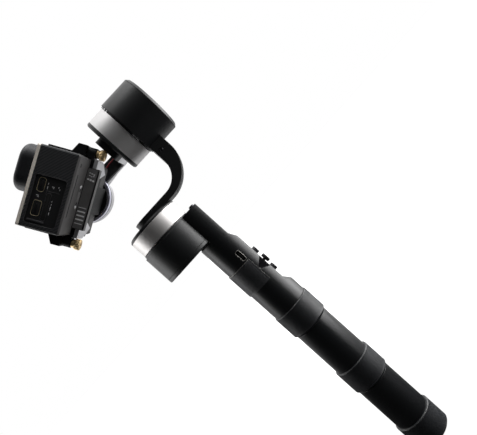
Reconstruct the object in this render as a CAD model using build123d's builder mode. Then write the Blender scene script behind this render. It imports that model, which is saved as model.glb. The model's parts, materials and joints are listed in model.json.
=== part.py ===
from build123d import *
import os
from math import cos, radians, sin, sqrt, tan

# Three-axis hand-held gimbal with a small action camera clamped in its cradle.
# Millimetres. The handle stands on Z, with the tripod thread's mouth at the origin.
# -X is the camera's side, +X the control panel's side, and +Y the pitch motor's side.
# The pan axis is parallel to Z, the roll axis to X and the pitch axis to Y.

# ---------------------------------------------------------------- driving dimensions
# battery handle
cell_dia = 18.3
cell_len = 35.0
cell_nub_dia = 6.0
cell_nub_len = 1.0
cell_gap = 0.3  # radial room between a cell and its tube
cell_air = 0.05  # axial air between stacked contacts
tube_cover = 0.7  # tube wall outside the screwed spigots
tube_len = 30.0  # bare tube between two grip rings
ring_step = 1.0  # how far the grip rings stand out of the tubes
ring_len = 15.6
ring_chamfer = 1.2
edge_break = 0.4
thread_wall = 0.85  # wall left under the screwed spigots
spigot_len = 7.2
thread_fit = 0.05
seal_section = 0.9
cap_len = 15.6
insert_dia = 10.0
insert_len = 8.0
tap_dia = 5.1  # tapping size of a 1/4-20 tripod thread
contact_thick = 1.0
contact_post_dia = 6.0
contact_rise = 3.0
contact_board_thick = 1.6
contact_spring_rise = 1.5

# upper body and its control panel
body_step = 0.45  # how far the upper body stands out of the tubes
body_len = 55.2  # from the tube joint to the motor shoulder
body_wall = 2.05
body_bore_dia = 17.4  # round bore behind the upper battery contact
saddle_len = 20.0
panel_x = 8.55
rear_flat_x = 6.1
panel_start = 8.6
panel_ramp = 3.3
panel_stop = 8.5  # from the panel's end to the motor shoulder
panel_end_ramp = 4.8
band_start = 19.0
band_len = 15.5
band_step = 0.55
band_edge_x = 3.3
trough_centre = 26.9
trough_half = 4.0
trough_floor_x = 3.6
trough_floor_half = 1.5
trough_bend_x = 4.6
cavity_top_x = 2.0
cavity_start = 8.7
cavity_stop = 5.0  # solid end below the motor shoulder

# controls
button_dia = 4.4
button_rise = 1.9
button_flange_dia = 6.0
button_flange_thick = 0.6
button_travel = 0.5
button_gap = 0.3
button_low = 20.4
button_high = 33.9
board_top_x = 0.4
board_thick = 1.2
switch_size = 3.5
switch_rise = 1.5
joystick_at = 26.9
joystick_collar_half = 3.6
joystick_collar_bore = 4.2
joystick_cap_dia = 5.2
joystick_cap_thick = 2.05
joystick_cap_gap = 0.5
joystick_stem_dia = 1.8
joystick_ring_dia = 4.4
joystick_ring_bore = 2.8
joystick_ring_thick = 0.8
joystick_base_size = 7.2
joystick_pivot_x = 1.5
joystick_hole_dia = 5.0
joystick_swing_room = 0.5  # under the pivot ring
joystick_pin_dia = 0.6
joystick_pin_reach = 2.9
joystick_pin_fit = 0.05
usb_at = 38.5
usb_x = 1.7
usb_rim = (6.8, 2.8)
usb_shell = (6.3, 2.3)
usb_wall = 0.35
usb_depth = 5.2
usb_proud = 0.25
screw_head_dia = 3.3
screw_head_rise = 1.6
screw_shank_dia = 1.5
screw_shank_len = 7.0
screw_inset = 2.7  # from the body's flat rear to the screw

# motors
motor_shadow_gap = 0.9  # dark line between the shoulder and the yaw motor
saddle_inset = 0.3  # saddle floor behind the handle's axis
wall = 1.6
deck = 1.6
back_wall = 0.8  # closed back of the flat pitch motor
hub_dia = 8.0
bearing_dia = 6.0
bearing_len = 2.5
shaft_dia = 3.0
shaft_fit = 0.03
rotor_gap = 0.3
web = 1.2
hub_gap = 0.4
magnet_thick = 1.2
magnet_count = 14
magnet_slit = 0.5
air_gap = 0.5
tooth_count = 12
tooth_width = 1.6
tooth_shoe = 1.2
core_dia = 12.0
slot_width = 1.3
coil_width = 3.0
coil_inset = 1.0
coil_overhang = 0.8
coil_fit = 0.05
rotor_wall = 1.5
skirt_wall = 1.0
yaw_housing_dia = 34.4
yaw_housing_len = 19.7
yaw_cap = 2.3
yaw_cap_chamfer = 0.5
yaw_neck = (0.7, 1.2)  # step in radius and its length
yaw_rotor_step = 0.9
yaw_rotor_len = 9.4
yaw_plate_thick = 1.8
yaw_plate_chamfer = 0.9
roll_housing_dia = 36.6
roll_housing_len = 21.0
roll_cap = 1.6
roll_cap_chamfer = 1.3
roll_neck = (1.0, 0.8)
roll_rotor_step = 1.2
roll_rotor_len = 10.1
roll_plate_thick = 2.2
roll_plate_chamfer = 0.8
pitch_housing_dia = 32.0
pitch_housing_len = 9.0
pitch_recess = 6.6
pitch_rotor_step = -0.2  # the pitch ring is the wider of the two
pitch_rotor_len = 4.3

# yaw arm
arm_width = 15.0
arm_foot_thick = 3.9
arm_outer_bend = 20.0
arm_inner_bend = 12.0
arm_outer_x = 21.0
arm_inner_x = 12.2
arm_rise = 43.7  # from the yaw rotor plate to the roll axis
arm_bite = 14.0  # height of the arm's end above the roll housing's lowest point
arm_screw_dia = 2.4
arm_screw_rise = 0.3
arm_screw_drop = 22.6
arm_screw_inset = 5.4
roll_face_x = 10.9

# pitch arm
pitch_reach = 34.6  # from the roll rotor plate to the pitch axis
pitch_face_y = 33.5
foot_thick = 3.8
foot_half = 7.2
foot_near_y = -6.3
foot_split_y = 4.0
leg_half = 4.5
leg_inner_y = 30.0
leg_skin_y = 32.6
leg_outer_y = 35.6
leg_corner = 3.7
gusset_y = 40.0
gusset_start = 9.5
tongue_thick = 1.5
tongue_half = 4.0
tongue_near_y = -3.0
cover_side_gap = 0.3
lead_dia = 0.9

# camera and cradle, in the camera's own directions: back, up, and towards -Y
camera_tilt = 63.5
camera_wide = 59.0
camera_tall = 41.0
camera_deep = 21.3
camera_front_thick = 1.6
camera_corner = 1.2
camera_edge = 0.8
lens_size = 24.4
lens_corner = 8.0
lens_proud = 9.2
lens_up = 7.7
lens_inset = 15.0  # from the camera's near side
lens_edge = 3.2
glass_dia = 13.6
glass_recess = 1.6
glass_thick = 1.0
port_bay_front = -7.5
port_bay_back = 8.0
port_bay_top = 6.0
port_bay_low = -18.0
port_bay_deep = 0.8
port_bay_corner = 1.5
shutter_dia = 7.0
shutter_gap = 0.3
shutter_inset = 9.0
shutter_rise = 0.4
shutter_depth = 2.0
shutter_travel = 0.4
bracket_thick = 1.8
bracket_low_y = 10.0
bracket_near_y = -13.0
bracket_over = 0.4  # beyond the camera's edges
bracket_neck_half = 8.0
bracket_disc_dia = 29.6
bracket_disc_thick = 1.9
camera_side_gap = 0.3
ear_step = 1.05  # behind the camera's back
ear_len = 4.5
ear_half = 2.7
plate_thick = 2.0
plate_over = 0.8
wing_start_y = -2.6  # the plate narrows from here to each wing tip
wing_tip_y = 8.0
wing_tip_up = 15.5
wing_root_y = -10.6
wing_root_up = 9.0
box_thick = 6.25
box_half = 16.3
box_lip_y = -14.6
box_far_y = -10.8
knob_rise = 3.8  # above the camera's edge
knob_y = -9.6
knob_dia = 5.9
knob_len = 2.8
washer_dia = 4.6
washer_thick = 1.9
washer_gap = 0.15  # lets the screw turn
clamp_screw_dia = 2.5
clamp_screw_inset = 0.5
clamp_screw_fit = 0.05
clamp_hole_gap = 0.3
strap_thick = 1.8
strap_gap = 0.3
strap_near_y = -13.0
strap_bar_gap = 1.5  # beside the lens housing
strap_bar_wide = 7.0
claw_gap = 0.5
claw_len = 7.0
claw_slope = 2.4
claw_rise = 4.7
claw_far_y = -5.5

# ---------------------------------------------------------------- heights and places
cell_bore_r = cell_dia / 2 + cell_gap
spigot_r = cell_bore_r + thread_wall
tube_r = spigot_r + tube_cover
ring_r = tube_r + ring_step
body_r = tube_r + body_step
band_r = body_r + band_step
ring_low_z = cap_len + tube_len
tube_high_z = ring_low_z + ring_len
ring_mid_z = tube_high_z + tube_len
body_z = ring_mid_z + ring_len
shoulder_z = body_z + body_len
saddle_z = shoulder_z + saddle_len
cap_floor_z = cap_len - spigot_len
switch_top_x = board_top_x + switch_rise
flange_x = switch_top_x + button_travel + button_gap / 2
well_top_x = flange_x + button_flange_thick + button_gap
pan_offset = yaw_housing_dia / 2 + saddle_inset
screw_x = rear_flat_x - screw_inset

pieces = []


def keep(piece, name):
    """Names a finished piece and queues it for writing."""
    piece.part.label = name
    pieces.append(piece.part)


def turned(name, seat, outline):
    """A turned piece: (radius, height) corners spun round the seat's normal."""
    half = Plane(origin=seat.origin, x_dir=seat.x_dir, z_dir=-seat.y_dir)
    with BuildPart() as piece:
        with BuildSketch(half):
            with BuildLine():
                Polyline(*outline, close=True)
            make_face()
        revolve(axis=Axis(seat.origin, seat.z_dir))
    keep(piece, name)


# ---------------------------------------------------------------- battery handle
turned(
    "tail_cap",
    Plane.XY,
    [
        (insert_dia / 2, 0),
        (ring_r - ring_chamfer, 0),
        (ring_r, ring_chamfer),
        (ring_r, cap_len - edge_break),
        (ring_r - edge_break, cap_len),
        (spigot_r + thread_fit, cap_len),
        (spigot_r + thread_fit, cap_floor_z),
        (insert_dia / 2, cap_floor_z),
    ],
)
turned(
    "tripod_insert",
    Plane.XY,
    [
        (tap_dia / 2, 0),
        (insert_dia / 2, 0),
        (insert_dia / 2, insert_len),
        (tap_dia / 2, insert_len),
    ],
)
turned(
    "tail_contact",
    Plane.XY.offset(cap_floor_z),
    [
        (0, 0),
        (cell_bore_r - cell_gap, 0),
        (cell_bore_r - cell_gap, contact_thick),
        (contact_post_dia / 2, contact_thick),
        (contact_post_dia / 2, contact_rise),
        (0, contact_rise),
    ],
)

for name, low_z in (("battery_tube_lower", cap_len), ("battery_tube_upper", tube_high_z)):
    turned(
        name,
        Plane.XY.offset(low_z),
        [
            (cell_bore_r, -spigot_len),
            (spigot_r, -spigot_len),
            (spigot_r, 0),
            (tube_r, 0),
            (tube_r, tube_len),
            (spigot_r, tube_len),
            (spigot_r, tube_len + spigot_len),
            (cell_bore_r, tube_len + spigot_len),
        ],
    )

for name, low_z in (("grip_ring_lower", ring_low_z), ("grip_ring_middle", ring_mid_z)):
    turned(
        name,
        Plane.XY.offset(low_z),
        [
            (spigot_r + thread_fit, 0),
            (ring_r - ring_chamfer, 0),
            (ring_r, ring_chamfer),
            (ring_r, ring_len - edge_break),
            (ring_r - edge_break, ring_len),
            (spigot_r + thread_fit, ring_len),
        ],
    )

with BuildPart() as seal_rings:
    for low_z in (ring_low_z, ring_mid_z):
        with Locations((0, 0, low_z + ring_len / 2)):
            Torus(spigot_r + thread_fit - seal_section / 2, seal_section / 2)
keep(seal_rings, "seal_rings")

first_cell_z = cap_floor_z + contact_rise + cell_air
cell_pitch = cell_len + cell_nub_len + cell_air
with BuildPart() as battery_cells:
    for low_z in (first_cell_z, first_cell_z + cell_pitch):
        with BuildSketch(Plane.XY.offset(low_z)):
            Circle(cell_dia / 2)
        extrude(amount=cell_len)
        with BuildSketch(Plane.XY.offset(low_z + cell_len)):
            Circle(cell_nub_dia / 2)
        extrude(amount=cell_nub_len)
keep(battery_cells, "battery_cells")

contact_z = first_cell_z + 2 * cell_pitch + contact_spring_rise
turned(
    "contact_board",
    Plane.XY.offset(contact_z),
    [
        (0, -contact_spring_rise),
        (contact_post_dia / 2, -contact_spring_rise),
        (contact_post_dia / 2, 0),
        (cell_bore_r, 0),
        (cell_bore_r, contact_board_thick),
        (0, contact_board_thick),
    ],
)

# ---------------------------------------------------------------- upper body
spigot_low_z = body_z - spigot_len
cavity_r = body_r - body_wall
cavity_low_z = body_z + cavity_start
cavity_high_z = shoulder_z - cavity_stop
trough_z = body_z + trough_centre
usb_y = -sqrt(body_r**2 - usb_x**2)


def panel_plane(z):
    """A plane on the control panel's axis at height z, facing out of the panel."""
    return Plane(origin=(0, 0, z), x_dir=(0, 0, 1), z_dir=(1, 0, 0))


def trough_line():
    """The thumb trough's section, drawn from its lower lip to its upper one."""
    Polyline(
        (panel_x, trough_z - trough_half),
        (trough_bend_x, trough_z - trough_floor_half),
    )
    ThreePointArc(
        (trough_bend_x, trough_z - trough_floor_half),
        (trough_floor_x, trough_z),
        (trough_bend_x, trough_z + trough_floor_half),
    )
    Polyline(
        (trough_bend_x, trough_z + trough_floor_half),
        (panel_x, trough_z + trough_half),
    )


with BuildPart() as handle_body:
    with BuildSketch(Plane.XY.offset(spigot_low_z)):
        Circle(spigot_r)
    extrude(amount=spigot_len)
    with BuildSketch(Plane.XY.offset(body_z)):
        Circle(body_r)
    extrude(amount=body_len + saddle_len)
    # the flat control panel, its ramps and the thumb trough across it
    with BuildSketch(Plane.XZ):
        with BuildLine():
            ramp_z = body_z + panel_start
            flat_z = ramp_z + panel_ramp
            end_z = shoulder_z - panel_stop
            Polyline(
                (2 * body_r, saddle_z),
                (2 * body_r, ramp_z),
                (body_r, ramp_z),
                (panel_x, flat_z),
                (panel_x, trough_z - trough_half),
            )
            trough_line()
            Polyline(
                (panel_x, trough_z + trough_half),
                (panel_x, end_z),
                (rear_flat_x, end_z + panel_end_ramp),
                (rear_flat_x, saddle_z),
                (2 * body_r, saddle_z),
            )
        make_face()
    extrude(amount=body_r, both=True, mode=Mode.SUBTRACT)
    # the saddle that carries the yaw motor
    with BuildSketch(Plane.XY.offset(shoulder_z)):
        with Locations((-pan_offset, 0)):
            Circle(yaw_housing_dia / 2)
    extrude(amount=saddle_len, mode=Mode.SUBTRACT)
    # the round bore below and the electronics space above it
    with BuildSketch(Plane.XY.offset(spigot_low_z)):
        Circle(body_bore_dia / 2)
    extrude(amount=cavity_low_z - spigot_low_z, mode=Mode.SUBTRACT)
    with BuildSketch(Plane.XY.offset(cavity_low_z)):
        Circle(cavity_r)
        with Locations((cavity_top_x, 0)):
            Rectangle(body_r, 2 * body_r, align=(Align.MIN, Align.CENTER), mode=Mode.SUBTRACT)
    extrude(amount=cavity_high_z - cavity_low_z, mode=Mode.SUBTRACT)
    # button wells with a wider pocket for the flange
    for at in (button_low, button_high):
        with BuildSketch(panel_plane(body_z + at).offset(cavity_top_x)):
            Circle(button_dia / 2 + button_gap)
        extrude(amount=body_r, mode=Mode.SUBTRACT)
        with BuildSketch(panel_plane(body_z + at).offset(cavity_top_x)):
            Circle(button_flange_dia / 2 + button_gap)
        extrude(amount=well_top_x - cavity_top_x, mode=Mode.SUBTRACT)
    with BuildSketch(panel_plane(body_z + joystick_at).offset(cavity_top_x)):
        Circle(joystick_hole_dia / 2)
    extrude(amount=body_r, mode=Mode.SUBTRACT)
    # the charging port's slot
    with BuildSketch(Plane.XZ.offset(body_r)):
        with Locations((usb_x, body_z + usb_at)):
            RectangleRounded(usb_rim[1], usb_rim[0], edge_break)
    extrude(amount=-(body_r + usb_y + usb_depth + usb_proud), mode=Mode.SUBTRACT)
    # tapped hole in the saddle's end
    with BuildSketch(Plane.XY.offset(saddle_z)):
        with Locations((screw_x, 0)):
            Circle(screw_shank_dia / 2)
    extrude(amount=-screw_shank_len, mode=Mode.SUBTRACT)
keep(handle_body, "handle_body")

with BuildPart() as grip_band_upper:
    with BuildSketch(Plane.XY.offset(body_z + band_start)):
        Circle(band_r)
        Circle(body_r, mode=Mode.SUBTRACT)
        with Locations((band_edge_x, 0)):
            Rectangle(band_r, 2 * band_r, align=(Align.MIN, Align.CENTER), mode=Mode.SUBTRACT)
    extrude(amount=band_len)
keep(grip_band_upper, "grip_band_upper")

# ---------------------------------------------------------------- controls
joystick_low_x = joystick_pivot_x - joystick_ring_thick / 2
joystick_base_floor = joystick_low_x - joystick_swing_room
pivot_centre = Vector(joystick_pivot_x, 0, body_z + joystick_at)
with BuildPart() as control_board:
    with BuildSketch(Plane.XY.offset(cavity_low_z)):
        Circle(cavity_r)
        with Locations((board_top_x - board_thick / 2, 0)):
            Rectangle(board_thick, 2 * body_r, mode=Mode.INTERSECT)
    extrude(amount=cavity_high_z - cavity_low_z)
    for at in (button_low, button_high):
        with BuildSketch(panel_plane(body_z + at).offset(board_top_x)):
            Rectangle(switch_size, switch_size)
        extrude(amount=switch_rise)
    with BuildSketch(panel_plane(body_z + joystick_at).offset(board_top_x)):
        Rectangle(joystick_base_size, joystick_base_size)
    extrude(amount=cavity_top_x - board_top_x)
    with BuildSketch(panel_plane(body_z + joystick_at).offset(joystick_base_floor)):
        Circle(joystick_ring_dia / 2 + button_gap)
    extrude(amount=cavity_top_x - joystick_base_floor, mode=Mode.SUBTRACT)
    # open slots that the pivot ring's pins lie in
    with BuildSketch(panel_plane(body_z + joystick_at).offset(joystick_base_floor)):
        Rectangle(joystick_pin_dia + 2 * joystick_pin_fit, 2 * (joystick_pin_reach + button_gap))
    extrude(amount=cavity_top_x - joystick_base_floor, mode=Mode.SUBTRACT)
keep(control_board, "control_board")

for name, at in (("mode_button", button_low), ("power_button", button_high)):
    turned(
        name,
        panel_plane(body_z + at),
        [
            (0, flange_x),
            (button_flange_dia / 2, flange_x),
            (button_flange_dia / 2, flange_x + button_flange_thick),
            (button_dia / 2, flange_x + button_flange_thick),
            (button_dia / 2, panel_x + button_rise - edge_break),
            (button_dia / 2 - edge_break, panel_x + button_rise),
            (0, panel_x + button_rise),
        ],
    )

# the gimbal ring tilts on its own two pins, and the stick on a cross pin through the ring
with BuildPart() as joystick_pivot:
    with BuildSketch(panel_plane(body_z + joystick_at).offset(joystick_low_x)):
        Circle(joystick_ring_dia / 2)
    extrude(amount=joystick_ring_thick)
    with BuildSketch(Plane(origin=pivot_centre, z_dir=(0, 1, 0))):
        Circle(joystick_pin_dia / 2)
    extrude(amount=joystick_pin_reach, both=True)
    with BuildSketch(panel_plane(body_z + joystick_at).offset(joystick_low_x)):
        Circle(joystick_ring_bore / 2)
    extrude(amount=joystick_ring_thick, mode=Mode.SUBTRACT)
    with BuildSketch(Plane(origin=pivot_centre, z_dir=(0, 0, 1))):
        Circle(joystick_pin_dia / 2 + joystick_pin_fit)
    extrude(amount=joystick_ring_dia, both=True, mode=Mode.SUBTRACT)
keep(joystick_pivot, "joystick_pivot")

cap_x = panel_x + joystick_cap_gap
with BuildPart() as joystick_collar:
    with BuildSketch(Plane.XZ):
        with BuildLine():
            trough_line()
            Line((panel_x, trough_z + trough_half), (panel_x, trough_z - trough_half))
        make_face()
    extrude(amount=joystick_collar_half, both=True)
    with BuildSketch(panel_plane(body_z + joystick_at).offset(cavity_top_x)):
        Circle(joystick_collar_bore / 2)
    extrude(amount=body_r, mode=Mode.SUBTRACT)
keep(joystick_collar, "joystick_collar")

with BuildPart() as joystick_stick:
    with BuildSketch(panel_plane(body_z + joystick_at).offset(joystick_low_x)):
        Circle(joystick_stem_dia / 2)
    extrude(amount=cap_x - joystick_low_x)
    with BuildSketch(Plane(origin=pivot_centre, z_dir=(0, 0, 1))):
        Circle(joystick_pin_dia / 2)
    extrude(amount=joystick_ring_dia / 2, both=True)
keep(joystick_stick, "joystick_stick")

with BuildPart() as joystick_cap:
    with BuildSketch(panel_plane(body_z + joystick_at).offset(cap_x)):
        Circle(joystick_cap_dia / 2)
    extrude(amount=joystick_cap_thick)
    chamfer(joystick_cap.edges().filter_by(GeomType.CIRCLE), edge_break)
keep(joystick_cap, "joystick_cap")

with BuildPart() as usb_port:
    mouth = Plane.XZ.offset(-usb_y + usb_proud)
    with BuildSketch(mouth):
        with Locations((usb_x, body_z + usb_at)):
            RectangleRounded(usb_rim[1], usb_rim[0], edge_break)
    extrude(amount=-usb_wall * 2)
    with BuildSketch(mouth):
        with Locations((usb_x, body_z + usb_at)):
            RectangleRounded(usb_shell[1], usb_shell[0], edge_break)
    extrude(amount=-usb_depth)
    with BuildSketch(mouth):
        with Locations((usb_x, body_z + usb_at)):
            RectangleRounded(
                usb_shell[1] - 2 * usb_wall, usb_shell[0] - 2 * usb_wall, edge_break / 2
            )
    extrude(amount=-(usb_depth - usb_wall), mode=Mode.SUBTRACT)
keep(usb_port, "usb_port")

turned(
    "saddle_screw",
    Plane(origin=(screw_x, 0, saddle_z)),
    [
        (0, -screw_shank_len),
        (screw_shank_dia / 2, -screw_shank_len),
        (screw_shank_dia / 2, 0),
        (screw_head_dia / 2, 0),
        (screw_head_dia / 2, screw_head_rise - edge_break),
        (screw_head_dia / 2 - edge_break, screw_head_rise),
        (0, screw_head_rise),
    ],
)


# ---------------------------------------------------------------- motors
def housing(name, seat, radius, length, neck, recess, cap, tube_top):
    """A motor's fixed shell, with its deck and bearing tube; seat is its front face."""
    neck_step, neck_len = neck
    inner_r = radius - wall
    back = -length + cap
    deck_low = -recess - deck if cap else back + back_wall
    outline = [(radius, back), (radius, -neck_len)]
    if neck_step:
        outline += [(radius - neck_step, -neck_len)]
    outline += [(radius - neck_step, 0)]
    if recess:
        outline += [(inner_r, 0), (inner_r, -recess)]
    outline += [(hub_dia / 2, -recess), (hub_dia / 2, tube_top), (bearing_dia / 2, tube_top)]
    outline += [(bearing_dia / 2, deck_low)]
    outline += [(inner_r, deck_low), (inner_r, back)] if cap else [(0, deck_low), (0, back)]
    turned(name, seat, outline)


def rear_cap(name, seat, radius, length, cap, chamfer_size):
    """The cover that closes a housing's rear, with a locating spigot."""
    inner_r = radius - wall - thread_fit
    turned(
        name,
        seat,
        [
            (0, -length),
            (radius - chamfer_size, -length),
            (radius, -length + chamfer_size),
            (radius, -length + cap),
            (inner_r, -length + cap),
            (inner_r, -length + cap + wall),
            (0, -length + cap + wall),
        ],
    )


def rotor(name, seat, radius, length, magnet_r, skirt_r, recess, shaft_low):
    """The turning bell: an outer ring, its end web and the shaft."""
    outline = [(0, length), (radius, length), (radius, rotor_gap)]
    if recess:
        outline += [(skirt_r, rotor_gap), (skirt_r, -recess + rotor_gap + edge_break)]
        outline += [(magnet_r, -recess + rotor_gap + edge_break)]
    else:
        outline += [(magnet_r, rotor_gap)]
    outline += [(magnet_r, length - web), (shaft_dia / 2, length - web)]
    outline += [(shaft_dia / 2, shaft_low), (0, shaft_low)]
    turned(name, seat, outline)


def magnets(name, seat, magnet_r, low, high):
    """Curved magnets glued round the inside of a rotor ring."""
    with BuildPart() as piece:
        with BuildSketch(seat.offset(low)):
            Circle(magnet_r)
            Circle(magnet_r - magnet_thick, mode=Mode.SUBTRACT)
            with PolarLocations(magnet_r, magnet_count):
                Rectangle(2 * (magnet_thick + air_gap), magnet_slit, mode=Mode.SUBTRACT)
        extrude(amount=high - low)
    keep(piece, name)


def stator(name, seat, tip_r, low, high):
    """The laminated core: a hub ring, straight teeth and their curved shoes."""
    tooth_len = tip_r - tooth_shoe / 2 - hub_dia / 2 - web
    with BuildPart() as piece:
        with BuildSketch(seat.offset(low)):
            Circle(tip_r)
            Circle(tip_r - tooth_shoe, mode=Mode.SUBTRACT)
            with PolarLocations(tip_r, tooth_count, start_angle=180 / tooth_count):
                Rectangle(2 * (tooth_shoe + air_gap), slot_width, mode=Mode.SUBTRACT)
            Circle(core_dia / 2)
            with PolarLocations(hub_dia / 2 + web + tooth_len / 2, tooth_count):
                Rectangle(tooth_len, tooth_width)
            Circle(hub_dia / 2, mode=Mode.SUBTRACT)
        extrude(amount=high - low)
    keep(piece, name)


def windings(name, seat, tip_r, low, high):
    """One copper coil round each tooth."""
    inner_end = core_dia / 2 + coil_inset
    outer_end = sqrt((tip_r - tooth_shoe) ** 2 - (coil_width / 2) ** 2) - coil_fit
    middle = (inner_end + outer_end) / 2
    with BuildPart() as piece:
        with BuildSketch(seat.offset(low - coil_overhang)):
            with PolarLocations(middle, tooth_count):
                Rectangle(outer_end - inner_end, coil_width)
        extrude(amount=high - low + 2 * coil_overhang)
        with BuildSketch(seat.offset(low - coil_fit)):
            with PolarLocations(middle, tooth_count):
                Rectangle(outer_end - inner_end + coil_inset, tooth_width + 2 * coil_fit)
        extrude(amount=high - low + 2 * coil_fit, mode=Mode.SUBTRACT)
    keep(piece, name)


def bearings(name, seat, places):
    """The pair of ball races that carry a shaft, as plain rings."""
    with BuildPart() as piece:
        for low in places:
            with BuildSketch(seat.offset(low)):
                Circle(bearing_dia / 2)
                Circle(shaft_dia / 2 + shaft_fit, mode=Mode.SUBTRACT)
            extrude(amount=bearing_len)
    keep(piece, name)


def motor(axis, seat, radius, length, neck, recess, cap, rotor_r, rotor_len):
    """Every piece of one gimbal motor; seat is the housing's front face."""
    skirt_r = radius - wall - hub_gap
    magnet_r = skirt_r - skirt_wall if recess else rotor_r - rotor_wall
    tube_top = rotor_len - web - hub_gap
    floor = -recess - deck if cap else -length + back_wall
    low = -recess + 2 * coil_overhang
    high = rotor_len - web - hub_gap - coil_overhang
    tip_r = magnet_r - magnet_thick - air_gap
    housing(f"{axis}_housing", seat, radius, length, neck, recess, cap, tube_top)
    shaft_low = floor + rotor_gap
    rotor(f"{axis}_rotor", seat, rotor_r, rotor_len, magnet_r, skirt_r, recess, shaft_low)
    magnets(f"{axis}_magnets", seat, magnet_r, low, high)
    stator(f"{axis}_stator", seat, tip_r, low, high)
    windings(f"{axis}_windings", seat, tip_r, low, high)
    bearings(f"{axis}_bearings", seat, (floor, tube_top - bearing_len))


def rotor_plate(name, seat, radius, low, thick, chamfer_size):
    """The black disc on a rotor's end that the next arm is screwed to."""
    turned(
        name,
        seat.offset(low),
        [
            (0, 0),
            (radius, 0),
            (radius, thick - chamfer_size),
            (radius - chamfer_size, thick),
            (0, thick),
        ],
    )


# yaw motor
yaw_housing_r = yaw_housing_dia / 2
yaw_rotor_r = yaw_housing_r - yaw_rotor_step
yaw_face_z = shoulder_z + motor_shadow_gap + yaw_housing_len
yaw_seat = Plane(origin=(-pan_offset, 0, yaw_face_z), x_dir=(1, 0, 0), z_dir=(0, 0, 1))
motor(
    "yaw", yaw_seat, yaw_housing_r, yaw_housing_len, yaw_neck, 0, yaw_cap,
    yaw_rotor_r, yaw_rotor_len,
)
rear_cap("yaw_rear_cap", yaw_seat, yaw_housing_r, yaw_housing_len, yaw_cap, yaw_cap_chamfer)
rotor_plate(
    "yaw_rotor_plate", yaw_seat, yaw_rotor_r, yaw_rotor_len, yaw_plate_thick, yaw_plate_chamfer
)

# roll motor
roll_housing_r = roll_housing_dia / 2
roll_rotor_r = roll_housing_r - roll_rotor_step
arm_base_z = yaw_face_z + yaw_rotor_len + yaw_plate_thick
roll_z = arm_base_z + arm_rise
roll_seat = Plane(origin=(roll_face_x, 0, roll_z), x_dir=(0, 0, 1), z_dir=(-1, 0, 0))
motor(
    "roll", roll_seat, roll_housing_r, roll_housing_len, roll_neck, 0, roll_cap,
    roll_rotor_r, roll_rotor_len,
)
rear_cap(
    "roll_rear_cap", roll_seat, roll_housing_r, roll_housing_len, roll_cap, roll_cap_chamfer
)
rotor_plate(
    "roll_rotor_plate", roll_seat, roll_rotor_r, roll_rotor_len, roll_plate_thick,
    roll_plate_chamfer,
)

# pitch motor: a flat one, with its magnets' skirt inside the arm's cup
pitch_housing_r = pitch_housing_dia / 2
pitch_rotor_r = pitch_housing_r - pitch_rotor_step
foot_x = roll_face_x - roll_rotor_len - roll_plate_thick
pitch_x = foot_x - pitch_reach
pitch_seat = Plane(
    origin=(pitch_x, pitch_face_y, roll_z), x_dir=(1, 0, 0), z_dir=(0, -1, 0)
)
motor(
    "pitch", pitch_seat, pitch_housing_r, pitch_housing_len, (0, edge_break), pitch_recess, 0,
    pitch_rotor_r, pitch_rotor_len,
)

# ---------------------------------------------------------------- yaw arm
with BuildPart() as yaw_arm:
    with BuildSketch(Plane.XZ):
        with BuildLine():
            foot_top_z = arm_base_z + arm_foot_thick
            outer_centre_x = arm_outer_x - arm_outer_bend
            inner_centre_x = arm_inner_x - arm_inner_bend
            arm_end_z = roll_z - arm_bite
            tip_x = -pan_offset - arm_width / 2
            Line((tip_x, arm_base_z), (outer_centre_x, arm_base_z))
            RadiusArc(
                (outer_centre_x, arm_base_z),
                (arm_outer_x, arm_base_z + arm_outer_bend),
                -arm_outer_bend,
            )
            Polyline(
                (arm_outer_x, arm_base_z + arm_outer_bend),
                (arm_outer_x, arm_end_z),
                (arm_inner_x, arm_end_z),
                (arm_inner_x, foot_top_z + arm_inner_bend),
            )
            RadiusArc(
                (arm_inner_x, foot_top_z + arm_inner_bend),
                (inner_centre_x, foot_top_z),
                arm_inner_bend,
            )
            Polyline(
                (inner_centre_x, foot_top_z), (tip_x, foot_top_z), (tip_x, arm_base_z)
            )
        make_face()
    extrude(amount=arm_width / 2, both=True)
    # the foot's end is round about the yaw axis
    with BuildSketch(Plane.XY.offset(arm_base_z)):
        with Locations((-pan_offset, 0)):
            Rectangle(arm_width, arm_width * 2, align=(Align.MAX, Align.CENTER))
            Circle(arm_width / 2, mode=Mode.SUBTRACT)
    extrude(amount=arm_foot_thick, mode=Mode.SUBTRACT)
    # the upper end is scooped to sit under the roll housing
    with BuildSketch(roll_seat):
        Circle(roll_housing_r)
    extrude(amount=-roll_housing_len, mode=Mode.SUBTRACT)
    # countersinks for the cable-cover screws on the two flat sides
    for side in (-1, 1):
        with BuildSketch(Plane.XZ.offset(side * arm_width / 2)):
            with Locations((arm_outer_x - arm_screw_inset, roll_z - arm_screw_drop)):
                Circle(arm_screw_dia / 2)
        extrude(amount=-side * wall, mode=Mode.SUBTRACT)
keep(yaw_arm, "yaw_arm")

with BuildPart() as yaw_arm_screws:
    for side in (-1, 1):
        with BuildSketch(Plane.XZ.offset(side * (arm_width / 2 + arm_screw_rise))):
            with Locations((arm_outer_x - arm_screw_inset, roll_z - arm_screw_drop)):
                Circle(arm_screw_dia / 2)
        extrude(amount=-side * (wall + arm_screw_rise))
keep(yaw_arm_screws, "yaw_arm_screws")

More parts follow.
